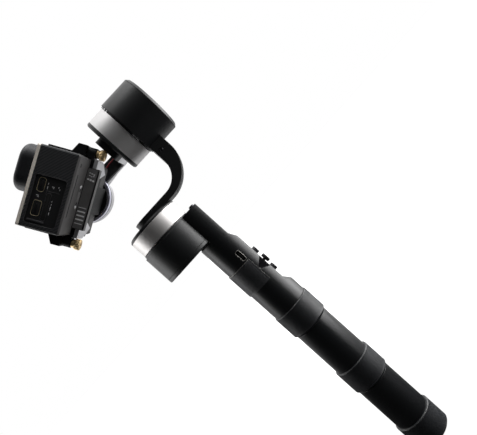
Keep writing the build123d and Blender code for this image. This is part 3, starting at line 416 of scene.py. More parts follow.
def rim(bm, wide, tall, corner, wall, low, high, centre=(0, 0), edge=0.08):
    """A standing rounded frame with softened upper edges."""
    def at(inset, height):
        return rounded(wide - 2 * inset, tall - 2 * inset, corner - inset, height, centre)

    rings = [at(0, low), at(0, high - edge), at(edge, high), at(wall - edge, high)]
    rings += [at(wall, high - edge), at(wall, low)]
    skin(bm, rings, loop=True)


def lathe(bm, outline, steps=64, ripple=None):
    """Turns a closed (radius, height) outline round the seat's z; ripple bends its radius."""
    rings = []
    for i in range(steps):
        angle = 2 * math.pi * i / steps
        ring = []
        for radius, height in outline:
            if ripple:
                radius += ripple(radius, height, angle)
            ring.append(Vector((radius * math.cos(angle), radius * math.sin(angle), height)))
        rings.append(ring)
    skin(bm, rings, loop=True)


def dense(outline, first, last, step):
    """The outline with points added between two neighbours, no further apart than a step."""
    (r0, z0), (r1, z1) = outline[first], outline[last]
    count = max(1, math.ceil(math.hypot(r1 - r0, z1 - z0) / step))
    between = [(r0 + (r1 - r0) * i / count, z0 + (z1 - z0) * i / count) for i in range(1, count)]
    return outline[: first + 1] + between + outline[last:]


def piece(name, bm, where, body, slot, instead_of=(), sharp=38, mat=None):
    """Closes a bmesh into an object that rides on a CAD body, in its slot's finish or a given one."""
    bmesh.ops.remove_doubles(bm, verts=bm.verts, dist=0.0005)
    bmesh.ops.recalc_face_normals(bm, faces=bm.faces)
    for face in bm.faces:
        face.smooth = True
    for edge in bm.edges:
        edge.smooth = len(edge.link_faces) == 2 and edge.calc_face_angle(0) < math.radians(sharp)
    bm.transform(where)
    mesh = bpy.data.meshes.new(name)
    bm.to_mesh(mesh)
    bm.free()
    obj = bpy.data.objects.new(name, mesh)
    bpy.context.scene.collection.objects.link(obj)
    dress(obj, mat or FINISH[slot])
    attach(obj, body)
    if instead_of:
        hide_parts(*instead_of)
    return obj


def screw_head(bm, radius, low, high, socket, centre=(0, 0), edge=0.2, depth=0.7):
    """A cap screw's head with a hexagonal socket."""
    floor = max(high - depth, low + 0.1)
    rings = [circle(radius, low, 36, centre), circle(radius, high - edge, 36, centre)]
    rings += [circle(radius - edge, high, 36, centre), hexagon(socket, high, 36, centre)]
    rings += [hexagon(socket, floor, 36, centre)]
    skin(bm, rings)


# ---------------------------------------------------------------- knurled grips
KNURL_PITCH = 1.15
KNURL_DEPTH = 0.22
KNURL_ROW = 0.29  # between two rows of points along a knurled skin
FOOT_CHAMFER = 1.2  # at a grip ring's lower end
TOP_CHAMFER = 0.45  # at its upper end, where a metal ring paints the edge's highlight


def knurl(low, high, outer):
    """Crossed grooves between two heights, only on the outer skin; the crests keep the radius."""
    teeth = round(2 * math.pi * outer / KNURL_PITCH)

    def ripple(radius, height, angle):
        if radius < outer - 0.01 or not low < height < high:
            return 0
        turn = angle * teeth / (2 * math.pi)
        lift = height / KNURL_PITCH
        ridge = min(abs(((turn + lift) % 1) - 0.5), abs(((turn - lift) % 1) - 0.5))
        return -KNURL_DEPTH * (1 - min(1, ridge * 4))

    return ripple, teeth * 4


def sleeve(name, node, outline, grip):
    """A knurled grip ring: grip is the outline's index where the knurled run starts."""
    outer = max(radius for radius, _ in outline)
    low, high = outline[grip][1], outline[grip + 1][1]
    ripple, steps = knurl(low + 0.3, high - 0.3, outer)
    bm = bmesh.new()
    lathe(bm, dense(outline, grip, grip + 1, KNURL_ROW), steps, ripple)
    piece(name, bm, HANDLE, "handle", "knurled_black", [node], 60)


def bright_edge_metal(name, height, outer):
    """A thin metal ring over a grip ring's upper chamfer: a painted highlight along that edge."""
    bm = bmesh.new()
    inner = outer - TOP_CHAMFER
    foot = height - TOP_CHAMFER
    outline = [(inner, height), (outer, foot), (outer, foot - 0.08)]
    outline += [(inner - 0.1, height - 0.2)]
    lathe(bm, outline, 96)
    piece(name, bm, HANDLE, "handle", "bright_steel", mat=EDGE_HIGHLIGHT_AND_SHELL_METAL)


def make_grips():
    """The two grip rings and the tail cap, each with a metal ring on its upper chamfer as a painted highlight."""
    for name, node in (("lower_sleeve", "grip_ring_lower"), ("middle_sleeve", "grip_ring_middle")):
        low, high = span(node, Z, ORIGIN)
        outer = span(node, Y)[1]
        bore = bore_of(node)
        outline = [(bore, low), (outer - FOOT_CHAMFER, low), (outer, low + FOOT_CHAMFER)]
        outline += [(outer, high - TOP_CHAMFER), (outer - TOP_CHAMFER, high), (bore, high)]
        sleeve(name, node, outline, 2)
        bright_edge_metal(name + "_edge", high, outer)
    low, high = span("tail_cap", Z, ORIGIN)
    outer = span("tail_cap", Y)[1]
    core = span("tripod_insert", Y)[1]
    bore = bore_of("grip_ring_lower")
    floor = span("tail_contact", Z, ORIGIN)[0]
    outline = [(core, low), (outer - 2.6, low), (outer - 2.2, low + 0.35), (outer - 1.8, low)]
    outline += [(outer - FOOT_CHAMFER, low), (outer, low + FOOT_CHAMFER)]
    outline += [(outer, high - TOP_CHAMFER), (outer - TOP_CHAMFER, high)]
    outline += [(bore, high), (bore, floor), (core, floor)]
    sleeve("tail_sleeve", "tail_cap", outline, 5)
    bright_edge_metal("tail_sleeve_edge", high, outer)


def make_band():
    """The C-shaped grip plate, knurled, with metal strips along its rim as a painted edge highlight."""
    low, high = span("grip_band_upper", Z, ORIGIN)
    outer = span("grip_band_upper", Y)[1]
    inner = span("handle_body", Y)[1]
    edge_x = span("grip_band_upper", X, ORIGIN)[1]
    margin = 0.7
    ripple, _ = knurl(low + margin, high - margin, outer)

    def section(radius, height, half, count, rippled):
        ring = []
        for i in range(count + 1):
            angle = half + (2 * math.pi - 2 * half) * i / count
            reach = radius
            if rippled and margin < (angle - half) * outer < (2 * math.pi - 2 * half) * outer - margin:
                reach += ripple(radius, height, angle)
            ring.append(Vector((reach * math.cos(angle), reach * math.sin(angle), height)))
        return ring

    half_out = math.acos(edge_x / outer)
    half_in = math.acos(edge_x / inner)
    count = 190
    rows = max(2, round((high - low) / KNURL_ROW))
    rings = [section(inner, low, half_in, count, False)]
    rings += [section(outer, low + (high - low) * i / rows, half_out, count, True) for i in range(rows + 1)]
    rings += [section(inner, high, half_in, count, False)]
    bm = bmesh.new()
    lattice = [[bm.verts.new(point) for point in ring] for ring in rings]
    for a, b in zip(lattice, lattice[1:] + lattice[:1]):
        for i in range(count):
            bm.faces.new((a[i], a[i + 1], b[i + 1], b[i]))
    for end in (0, -1):
        bm.faces.new([ring[end] for ring in lattice])
    piece("grip_plate", bm, HANDLE, "handle", "knurled_black", ["grip_band_upper"], 60, mat=BAND)
    # its bright edges, metal strips that paint the edge highlight: up the two straight sides and over the
    # motor-side end
    bm = bmesh.new()
    for side in (-1, 1):
        foot = Vector((edge_x, side * math.sqrt(outer**2 - edge_x**2), 0))
        box_rings = []
        for height in (low, high):
            box_rings.append([
                foot + Vector((-0.35, side * 0.02, height)),
                foot + Vector((0.0, side * 0.03, height)),
                foot + Vector((0.0, -side * 0.3, height)),
                foot + Vector((-0.35, -side * 0.3, height)),
            ])
        skin(bm, box_rings)
    arc = []
    for i in range(97):
        angle = half_out + (2 * math.pi - 2 * half_out) * i / 96
        ray = Vector((math.cos(angle), math.sin(angle), 0))
        arc.append([
            ray * (outer + 0.02) + Z * (high - 0.3), ray * (outer + 0.02) + Z * (high - 0.08),
            ray * (outer - 0.1) + Z * (high + 0.03), ray * (outer - 0.35) + Z * (high + 0.03),
            ray * (outer - 0.35) + Z * (high - 0.3),
        ])
    skin(bm, arc)
    piece("grip_plate_edge_highlight", bm, HANDLE, "handle", "bright_steel", mat=EDGE_HIGHLIGHT_AND_SHELL_METAL)


# ---------------------------------------------------------------- controls on the upper body
def dished_cap(name, node, body, cap, flange=0.0, ribs=0):
    """A button cap in place of its CAD node: rounded rim, dished top and optional side ribs."""
    low_x, high_x = span(node, X, ORIGIN)
    reach = span(node, Y)[1]
    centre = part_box(node)[0].lerp(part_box(node)[1], 0.5)
    where = seat(Vector((0, centre.y, centre.z)), Z, X)

    def ripple(radius, height, angle):
        return -0.16 * (0.5 + 0.5 * math.cos(ribs * angle)) if radius > cap - 0.01 and ribs else 0

    outline = [(0, low_x)]
    if flange:
        outline += [(reach, low_x), (reach, low_x + flange), (cap, low_x + flange)]
    else:
        outline += [(cap - 0.3, low_x), (cap, low_x + 0.3)]
    outline += [(cap, high_x - 0.35), (cap - 0.12, high_x - 0.1)]
    outline += [(cap - 0.4, high_x), (cap - 0.75, high_x - 0.08)]
    outline += [(cap - 1.4, high_x - 0.3), (0, high_x - 0.36)]
    bm = bmesh.new()
    lathe(bm, outline, max(48, ribs * 6), ripple)
    piece(name, bm, where, body, "button_plastic", [node], 50)


def make_keys():
    """The two buttons' caps and the joystick's ribbed one."""
    dished_cap("power_cap", "power_button", "power_key", 2.2, flange=0.6)
    dished_cap("mode_cap", "mode_button", "mode_key", 2.2, flange=0.6)
    dished_cap("stick_cap", "joystick_cap", "joystick", 2.6, ribs=16)


def make_charging_port():
    """A thin bright shell round a black block: the tongue, and painted shade filling the socket's mouth."""
    low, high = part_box("usb_port")
    centre = (low + high) / 2
    where = seat(Vector((centre.x, 0, centre.z)), Z, -Y)
    mouth = -low.y / MM
    wide, tall = (high.z - low.z) / MM, (high.x - low.x) / MM
    back = -high.y / MM
    bm = bmesh.new()
    rim(bm, wide, tall, 1.1, 0.36, back, mouth, edge=0.1)
    piece("usb_shell", bm, where, "handle", "bright_steel", ["usb_port"], mat=EDGE_HIGHLIGHT_AND_SHELL_METAL)
    bm = bmesh.new()
    # Black fill in the socket's mouth is painted shade; the thin slab on it is the tongue.
    slab(bm, wide - 0.74, tall - 0.74, 0.8, back + 0.1, mouth - 1.3, 0.05)
    slab(bm, wide - 2.6, 0.7, 0.1, back + 0.4, mouth - 0.35, 0.1)
    piece("usb_mouth_shade_and_tongue", bm, where, "handle", "button_plastic", mat=SHADE_AND_JOINT_BLACK)


def make_panel():
    """Status lamps beyond the upper button, and a name-free inlay below the lower one."""
    panel_x = span("power_button", X, ORIGIN)[1] - 1.9
    lamp_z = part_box("power_button")[1].z / MM + 2.2
    lamp_step = 1.7
    bm = bmesh.new()
    frame_bm = bmesh.new()
    for i in range(4):
        spot = (lamp_z + lamp_step * i, 0)
        skin(bm, [circle(0.42, panel_x - 0.1, 20, spot), circle(0.42, panel_x + 0.02, 20, spot),
                  circle(0.3, panel_x + 0.08, 20, spot)])
        rim(frame_bm, 1.24, 1.24, 0.62, 0.18, panel_x - 0.1, panel_x + 0.05, spot, 0.03)
    across = seat(ORIGIN, Z, X)
    piece("status_lamps", bm, across, "handle", "lens_glass", mat=LAMP)
    piece("status_lamp_rims", frame_bm, across, "handle", "dark_steel")
    bm = bmesh.new()
    inlay_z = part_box("mode_button")[0].z / MM - 4.0
    slab(bm, 4.6, 1.0, 0.5, panel_x - 0.1, panel_x + 0.05, 0.03, (inlay_z, 0))
    piece("panel_inlay", bm, across, "handle", "dark_steel")


def make_saddle_screw():
    """The cap screw in the saddle's end."""
    low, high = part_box("saddle_screw")
    centre = (low + high) / 2
    head_r = (high.x - low.x) / MM / 2
    where = seat(Vector((centre.x, 0, 0)), X, Z)
    face = span("handle_body", Z, ORIGIN)[1]
    bm = bmesh.new()
    skin(bm, [circle(0.75, low.z / MM, 24), circle(0.75, face + 0.01, 24)])
    screw_head(bm, head_r, face, high.z / MM, 0.8, edge=0.45)
    piece("saddle_cap_screw", bm, where, "handle", "dark_steel", ["saddle_screw"])


# ---------------------------------------------------------------- motors
def circle_of_screws(name, where, count, ring_r, face, body):
    """Countersunk screws evenly round a motor's end; face is their seat's height."""
    bm = bmesh.new()
    for i in range(count):
        angle = 2 * math.pi * (i + 0.5) / count
        spot = (ring_r * math.cos(angle), ring_r * math.sin(angle))
        screw_head(bm, 1.25, face - 0.5, face + 0.12, 0.62, spot, 0.12, 0.4)
    piece(name, bm, where, body, "dark_steel")


def end_rings(name, where, face, radii, body, slot):
    """Fine raised rings turned in a motor's end face."""
    proud = 0.1
    bm = bmesh.new()
    for radius in radii:
        outline = [(radius - 0.25, face - 0.2), (radius - 0.18, face + proud)]
        outline += [(radius + 0.18, face + proud), (radius + 0.25, face - 0.2)]
        lathe(bm, outline, 72)
    piece(name, bm, where, body, slot)


def seam(name, where, radius, height, body):
    """A thin dark line round a turned body, standing a little proud of it."""
    half, depth, proud = 0.14, 0.3, 0.02
    bm = bmesh.new()
    outline = [(radius - depth, height - half), (radius + proud, height - half)]
    outline += [(radius + proud, height + half), (radius - depth, height + half)]
    lathe(bm, outline, 96)
    piece(name, bm, where, body, "motor_black", mat=SHADE_AND_JOINT_BLACK)


def make_motor_ends():
    """Screws, turned rings and the cap's joint on the yaw and roll motors' closed ends."""
    down = seat(Vector((PAN.x, 0, 0)), X, -Z)
    yaw_r = span("yaw_housing", Y)[1]
    bottom = span("yaw_rear_cap", -Z, ORIGIN)[1]
    circle_of_screws("yaw_cap_screws", down, 4, yaw_r - 4.4, bottom, "handle")
    end_rings("yaw_cap_rings", down, bottom, (6.0, 9.5), "handle", "motor_black")
    out = seat(Vector((0, 0, ROLL.z)), Z, X)
    roll_r = span("roll_housing", Y)[1]
    start, end = span("roll_rear_cap", X, ORIGIN)
    circle_of_screws("roll_cap_screws", out, 4, roll_r - 4.6, end, "yaw_arm")
    end_rings("roll_cap_rings", out, end, (6.5, 10.0), "yaw_arm", "motor_black")
    seam("roll_cap_seam", out, roll_r, start + 1.6, "yaw_arm")
    seam("yaw_cap_seam", YAW, yaw_r, 2.3 - bottom, "handle")


def make_gap_shade_pad():
    """A black pad that fills the narrow gap between the shoulder and the yaw motor: painted shade where the gap
    would show light through.
    """
    yaw_r = span("yaw_housing", Y)[1]
    bottom = span("yaw_rear_cap", Z, ORIGIN)[0]
    body_r = span("handle_body", Y)[1]
    pad_r, pad_yaw = body_r - 0.5, yaw_r - 0.5
    offset = -PAN.x / MM
    cross_x = (pad_r**2 - pad_yaw**2 + offset**2) / (-2 * offset)
    half_body = math.acos(cross_x / pad_r)
    half_yaw = math.acos((cross_x + offset) / pad_yaw)
    outline = []
    steps = 24
    for i in range(steps + 1):
        angle = half_body + (2 * math.pi - 2 * half_body) * i / steps
        outline.append((pad_r * math.cos(angle), pad_r * math.sin(angle)))
    for i in range(1, steps):
        angle = -half_yaw + 2 * half_yaw * i / steps
        outline.append((pad_yaw * math.cos(angle) - offset, pad_yaw * math.sin(angle)))
    bm = bmesh.new()
    ends = (bottom - 0.95, bottom + 0.05)
    skin(bm, [[Vector((x, y, height)) for x, y in outline] for height in ends])
    piece("yaw_gap_shade_pad", bm, HANDLE, "handle", "motor_black", mat=SHADE_AND_JOINT_BLACK)


def make_pitch_cup():
    """The pitch motor's closed end, and a black ring that paints the shade of the gap between its cup and the
    turning ring.
    """
    behind = seat(Vector((PITCH.x, 0, PITCH.z)), X, Y)
    cup_r = span("pitch_housing", Z)[1]
    cup_end = span("pitch_housing", Y, ORIGIN)[1]
    circle_of_screws("pitch_cup_screws", behind, 4, cup_r - 5.0, cup_end, "roll_arm")
    end_rings("pitch_cup_rings", behind, cup_end, (5.5,), "roll_arm", "silver_aluminium")
    face = -PITCH.y / MM
    bm = bmesh.new()
    outline = [(cup_r - 2.0, face - 2.1), (cup_r + 0.04, face - 2.1), (cup_r + 0.04, face - 0.05)]
    outline += [(cup_r - 0.3, face + 0.12), (cup_r - 2.0, face + 0.12)]
    lathe(bm, outline, 96)
    piece("pitch_gap_shade_ring", bm, PITCH_SEAT, "roll_arm", "cover_black")


def make_roll_gap_glints():
    """Bright metal bits in the gap between the roll housing and its turning ring, set where glints show: painted
    glints.
    """
    roll_r = span("roll_housing", Y)[1]
    face = -ROLL.x / MM
    inner, outer, low, high = roll_r - 1.6, roll_r - 0.55, Z * (face - 0.75), Z * (face - 0.02)
    bm = bmesh.new()
    for middle, width in (  # degrees round the motor
        (-84, 5), (-74, 3), (-66, 6), (-55, 3), (-46, 5), (-37, 3), (34, 16), (120, 9), (165, 9), (215, 9),
    ):
        rings = []
        for i in range(5):
            angle = math.radians(-90 - middle + width * (i / 4 - 0.5))
            ray = Vector((math.cos(angle), math.sin(angle), 0))
            rings.append([ray * inner + low, ray * outer + low, ray * outer + high, ray * inner + high])
        skin(bm, rings)
    piece("roll_gap_painted_glints", bm, ROLL_SEAT, "yaw_arm", "bright_steel")


# ---------------------------------------------------------------- arms
def make_arm_screws():
    """Socket screws in the yaw arm's flat sides."""
    low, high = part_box("yaw_arm_screws")
    centre = (low + high) / 2
    radius = (high.x - low.x) / MM / 2
    for name, side in (("arm_screw_near", -1), ("arm_screw_far", 1)):
        face = (high.y if side > 0 else -low.y) / MM
        where = seat(Vector((centre.x, 0, centre.z)), X, Y * side)
        bm = bmesh.new()
        screw_head(bm, radius, face - 1.4, face, 0.65, edge=0.25, depth=0.5)
        own = piece(name, bm, where, "yaw_arm", "dark_steel")
        if side < 0:
            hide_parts("yaw_arm_screws")


def make_arm_cover():
    """The cable cover let into the yaw arm's outer side."""
    outer = span("yaw_arm", X, ORIGIN)[1]
    base, top = span("yaw_arm", Z, ORIGIN)
    bend = 20.0
    turn = Vector((outer - bend, 0, base + bend))
    half = 4.4  # of its width
    route = []
    for i in range(13):
        angle = math.radians(-80 + 80 * i / 12)
        ray = Vector((math.cos(angle), 0, math.sin(angle)))
        route.append((turn + ray * bend, ray))
    route.append((Vector((outer, 0, top - 4.5)), X))
    rings = []
    for point, ray in route:
        rings.append([
            point + ray * -0.3 + Y * -half, point + ray * 0.1 + Y * -half,
            point + ray * 0.22 + Y * (-half + 0.3), point + ray * 0.22 + Y * (half - 0.3),
            point + ray * 0.1 + Y * half, point + ray * -0.3 + Y * half,
        ])
    bm = bmesh.new()
    skin(bm, rings)
    piece("arm_cable_cover", bm, HANDLE, "yaw_arm", "cover_black")


def make_pitch_cover():
    """An oval boss and a screw on the pitch arm's cover."""
    face = -span("pitch_arm_cover", Y, ORIGIN)[0]
    low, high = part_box("pitch_arm_cover")
    boss = ((low.x + high.x) / 2 / MM - 3.4, -0.8)
    where = seat(Vector((0, 0, ROLL.z)), X, -Y)
    bm = bmesh.new()
    rim(bm, 3.4, 2.4, 1.2, 0.35, face - 0.3, face + 0.15, boss)
    slab(bm, 1.9, 0.9, 0.4, face - 0.3, face + 0.1, 0.06, boss)
    piece("cover_boss", bm, where, "roll_arm", "cover_black")
    bm = bmesh.new()
    screw_head(bm, 0.9, face - 0.6, face + 0.12, 0.45, (high.x / MM - 2.2, -2.6), 0.12, 0.4)
    piece("cover_screw", bm, where, "roll_arm", "dark_steel")


# ---------------------------------------------------------------- camera
def make_ports():
    """Sockets, card slot and generic marks inside the camera's port bay."""
    face = span("camera_body", -Y)[1]
    floor = face - 0.8
    upper, lower, card = (-3.8, 1.4), (-3.3, -10.2), (1.0, -8.6)  # the two sockets and the card slot
    bm = bmesh.new()
    rim(bm, 3.7, 7.2, 1.4, 0.26, floor - 0.3, floor + 0.16, upper)
    rim(bm, 4.3, 7.7, 1.2, 0.24, floor - 0.3, floor + 0.12, lower)
    piece("port_rims", bm, NEAR, "camera_cradle", "brass", mat=GILT)
    # Black slabs in the sockets' and the card slot's mouths: painted shade.
    bm = bmesh.new()
    slab(bm, 3.2, 6.7, 1.1, floor - 0.2, floor + 0.03, 0.02, upper)
    slab(bm, 3.8, 7.2, 1.0, floor - 0.2, floor + 0.03, 0.02, lower)
    slab(bm, 2.1, 13.4, 0.9, floor - 0.2, floor + 0.03, 0.02, card)
    piece("port_mouth_shade", bm, NEAR, "camera_cradle", "camera_trim", mat=SHADE_AND_JOINT_BLACK)
    bm = bmesh.new()
    slab(bm, 0.7, 4.4, 0.2, floor - 0.2, floor + 0.1, 0.04, (-3.9, 1.4))
    slab(bm, 0.8, 4.8, 0.2, floor - 0.2, floor + 0.1, 0.04, (-3.4, -10.2))
    piece("port_tongues", bm, NEAR, "camera_cradle", "dark_steel")
    # the card slot's lip, a raised corner line and the ledge at the bay's foot
    bm = bmesh.new()
    rim(bm, 2.6, 13.9, 1.1, 0.25, floor - 0.2, floor + 0.08, card)
    slab(bm, 6.4, 0.3, 0.12, floor - 0.2, floor + 0.1, 0.04, (2.6, -0.9))
    slab(bm, 0.3, 2.2, 0.12, floor - 0.2, floor + 0.1, 0.04, (-0.6, -1.9))
    slab(bm, 8.5, 1.1, 0.4, floor - 0.2, floor + 0.45, 0.2, (-2.2, -16.4))
    piece("bay_ridges", bm, NEAR, "camera_cradle", "camera_trim")
    # generic grey marks
    bm = bmesh.new()
    for x, y, wide, tall in (
        (-0.7, 2.6, 0.3, 1.1), (-0.7, 0.6, 0.3, 1.5), (1.9, 1.6, 1.3, 0.35), (2.2, 0.9, 0.7, 0.3),
        (4.6, 2.0, 0.35, 0.8), (5.3, 1.0, 0.3, 0.9), (-4.4, -4.0, 1.3, 0.35), (-3.9, -4.7, 0.8, 0.3),
        (3.2, -5.4, 0.3, 0.8), (3.2, -6.9, 0.3, 0.8), (3.2, -9.0, 0.3, 2.0), (3.2, -11.4, 0.3, 1.4),
    ):
        slab(bm, wide, tall, 0.12, floor - 0.1, floor + 0.02, 0.01, (x, y))
    piece("bay_marks", bm, NEAR, "camera_cradle", "camera_trim", mat=INK)
    # a shallow frame round the bay
    bm = bmesh.new()
    rim(bm, 16.0, 24.5, 1.8, 0.28, face - 0.6, face + 0.05, (0.25, -6.0), 0.06)
    piece("bay_frame", bm, NEAR, "camera_cradle", "camera_trim")


def make_camera_back():
    """The slit, latch and two pale dots in the camera's back."""
    face = span("camera_body", BACK)[1]
    near_edge = -span("camera_body", -Y)[1]
    latch_x = near_edge + 14.0
    # Black slabs paint the shade in the slit, in a small notch and in the recess round the latch.
    bm = bmesh.new()
    slab(bm, 1.3, 22.0, 0.5, face - 0.3, face + 0.03, 0.02, (near_edge + 4.2, -0.4))
    slab(bm, 1.5, 1.9, 0.3, face - 0.3, face + 0.03, 0.02, (near_edge + 5.0, 15.4))
    slab(bm, 2.7, 12.4, 1.3, face - 0.3, face + 0.02, 0.02, (latch_x, -0.2))
    piece("back_slit_shade", bm, REAR, "camera_cradle", "camera_trim", mat=SHADE_AND_JOINT_BLACK)
    bm = bmesh.new()
    rim(bm, 3.6, 13.4, 1.7, 0.5, face - 0.2, face + 0.2, (latch_x, -0.2))
    slab(bm, 1.6, 5.6, 0.7, face - 0.2, face + 0.25, 0.12, (latch_x, -0.2))
    piece("back_latch", bm, REAR, "camera_cradle", "sensor_grey")
    # Two pale domed dots at the latch's two ends.
    bm = bmesh.new()
    for rise in (5.2, -5.4):
        spot = (latch_x, rise)
        skin(bm, [circle(0.85, face - 0.2, 20, spot), circle(0.85, face + 0.12, 20, spot),
                  circle(0.6, face + 0.25, 20, spot)])
    piece("back_pale_dots", bm, REAR, "camera_cradle", "lens_glass", mat=INK)


def make_camera_front():
    """Lens glass and rings, status window, power button and microphone holes."""
    low_lens, high_lens = span("lens_glass", -BACK)
    ahead = span("lens_housing", -BACK)[1]
    low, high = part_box("lens_glass")
    lens_x = -((low.y + high.y) / 2) / MM
    lens_up = sum(span("lens_glass", UP)) / 2
    lens_r = (high.y - low.y) / MM / 2
    where = seat(PIVOT - Y * (lens_x * MM) + UP * (lens_up * MM), -Y, -BACK)
    dome = [(0, low_lens), (lens_r - 0.02, low_lens), (lens_r - 0.02, high_lens - 0.5)]
    for i in range(9):
        part = 1 - i / 8
        dome.append(((lens_r - 0.4) * part, high_lens - 0.5 + 1.0 * math.sqrt(1 - part**2)))
    bm = bmesh.new()
    lathe(bm, dome, 72)
    piece("lens_dome", bm, where, "camera_cradle", "lens_glass", ["lens_glass"])
    bm = bmesh.new()
    for radius, rise in ((lens_r - 0.5, 0.55), (lens_r + 0.5, 0.0)):
        top = high_lens + rise if radius < lens_r else ahead + 0.02
        outline = [(radius - 0.35, top - 0.7), (radius - 0.25, top)]
        outline += [(radius + 0.25, top), (radius + 0.35, top - 0.7)]
        lathe(bm, outline, 72)
    piece("lens_rings", bm, where, "camera_cradle", "camera_trim")
    face = span("camera_front", -BACK)[1]
    panel_x = 15.5 - span("camera_front", Y, ORIGIN)[1]
    window, button = (panel_x, 11.5), (panel_x, -4.5)
    bm = bmesh.new()
    slab(bm, 15.5, 10.5, 1.2, face - 0.3, face + 0.05, 0.04, window)
    piece("front_window", bm, FRONT, "camera_cradle", "lens_glass")
    bm = bmesh.new()
    rim(bm, 16.4, 11.4, 1.6, 0.4, face - 0.3, face + 0.1, window, 0.06)
    rim(bm, 12.6, 12.6, 6.3, 0.5, face - 0.3, face + 0.18, button, 0.1)
    piece("front_rims", bm, FRONT, "camera_cradle", "camera_trim")
    bm = bmesh.new()
    profile = ((5.6, -0.3), (5.6, 0.2), (5.3, 0.35), (3.9, 0.3), (3.7, 0.12))
    skin(bm, [circle(radius, face + rise, 60, button) for radius, rise in profile])
    piece("front_button", bm, FRONT, "camera_cradle", "camera_trim")
    # Black discs standing proud of the face paint the microphone holes' shade.
    bm = bmesh.new()
    pitch = 1.3
    for row in range(3):
        for column in range(4):
            hole = (-lens_x + 9.0 + column * pitch, -13.0 - row * pitch)
            skin(bm, [circle(0.35, face - 0.2, 14, hole), circle(0.35, face + 0.02, 14, hole)])
    piece("front_mic_hole_shade", bm, FRONT, "camera_cradle", "camera_trim", mat=SHADE_AND_JOINT_BLACK)


# ---------------------------------------------------------------- cradle
def make_sensor_box():
    """Edges, a generic label and light stripes on the sensor box's near face."""
    near = span("sensor_box", -Y, ORIGIN)[1]
    back_low, back_high = span("sensor_box", BACK)
    half = span("sensor_box", UP)[1]
    bm = bmesh.new()
    wide = back_high - back_low
    centre = (back_low + wide / 2, 0)
    rim(bm, wide, 2 * half, 0.6, 0.3, near - 0.4, near + 0.04, centre, 0.04)
    slab(bm, 0.5, 2 * half - 1.4, 0.2, near - 0.3, near + 0.03, 0.02, (back_high - 0.55, 0))
    piece("box_edge", bm, NEAR, "camera_cradle", "sensor_grey", mat=SHADE_AND_JOINT_BLACK)
    bm = bmesh.new()
    base, top = near - 0.2, near + 0.02
    for i in range(3):
        slab(bm, 0.9, 0.6, 0.15, base, top, 0.01, (back_low + 1.7 + 1.15 * i, 13.6 - 0.25 * i))
        slab(bm, 0.8, 0.5, 0.15, base, top, 0.01, (back_low + 1.9 + 1.05 * i, 12.2 - 0.3 * (i % 2)))
        slab(bm, 1.1, 0.9, 0.2, base, top, 0.01, (back_low + 1.6 + 1.35 * i, 10.2 - 0.2 * i))
    for i in range(5):
        thick = 0.35 if i in (0, 4) else 0.75
        slab(bm, 4.1, thick, 0.15, base, top, 0.01, (back_low + 2.75, -5.0 - 2.1 * i))
    piece("box_marks", bm, NEAR, "camera_cradle", "sensor_grey", mat=INK)


def make_thumb_screws():
    """Brass thumb screws with fluted heads."""
    teeth = 22
    for name, node, body in (
        ("top_thumb_screw", "thumb_screw_top", "screw_top"),
        ("bottom_thumb_screw", "thumb_screw_bottom", "screw_bottom"),
    ):
        back_low, back_high = span(node, BACK)
        up_low, up_high = span(node, UP)
        y_low, y_high = span(node, Y, ORIGIN)
        head_r = (up_high - up_low) / 2
        centre = PIVOT + UP * ((up_low + up_high) / 2 * MM) + Y * ((y_low + y_high) / 2 * MM)
        where = seat(centre, -Y, BACK)
        head = back_high - 2.8

        def flutes(radius, height, angle):
            if radius < head_r - 0.01:
                return 0
            return -0.26 * (0.5 + 0.5 * math.cos(teeth * angle))

        outline = [(0, back_low), (1.1, back_low), (1.25, back_low + 0.2), (1.25, head - 1.75)]
        outline += [(2.3, head - 1.75), (2.3, head), (head_r - 0.25, head), (head_r, head + 0.25)]
        outline += [(head_r, back_high - 0.3), (head_r - 0.3, back_high), (1.3, back_high)]
        outline += [(1.1, back_high - 0.25), (0, back_high - 0.25)]
        bm = bmesh.new()
        lathe(bm, outline, teeth * 6, flutes)
        piece(name, bm, where, body, "brass", [node], 50)


def make_tripod_insert():
    """The brass insert with its thread cut as a real helix inside."""
    bore = bore_of("tripod_insert")
    outer = span("tripod_insert", Y)[1]
    low, high = span("tripod_insert", Z, ORIGIN)
    lead = 1.27  # 20 threads to the inch

    def thread(radius, height, angle):
        if radius > bore + 0.01:
            return 0
        phase = (height / lead - angle / (2 * math.pi)) % 1
        return 0.5 * min(1, 2 * min(phase, 1 - phase))

    outline = [(outer, low), (outer, high), (bore, high), (bore, low)]
    bm = bmesh.new()
    lathe(bm, dense(outline, 2, 3, lead / 6), 60, thread)
    piece("threaded_insert", bm, HANDLE, "handle", "brass", ["tripod_insert"], 60)


make_grips()
make_band()
make_keys()
make_charging_port()
make_panel()
make_saddle_screw()
make_motor_ends()
make_gap_shade_pad()
make_pitch_cup()
make_roll_gap_glints()
make_arm_screws()
make_arm_cover()
make_pitch_cover()
make_ports()
make_camera_back()
make_camera_front()
make_sensor_box()
make_thumb_screws()
make_tripod_insert()

# ---------------------------------------------------------------- stage, lights and camera
def area_light(name, at, aim, size, power):
    """A soft rectangular lamp that the camera doesn't see."""
    data = bpy.data.lights.new(name, "AREA")
    data.shape = "RECTANGLE"
    data.size, data.size_y = size
    data.energy = power
    obj = bpy.data.objects.new(name, data)
    obj.location = at
    obj.rotation_mode = "QUATERNION"
    obj.rotation_quaternion = (aim - at).to_track_quat("-Z", "Y")
    obj.visible_camera = False
    bpy.context.scene.collection.objects.link(obj)


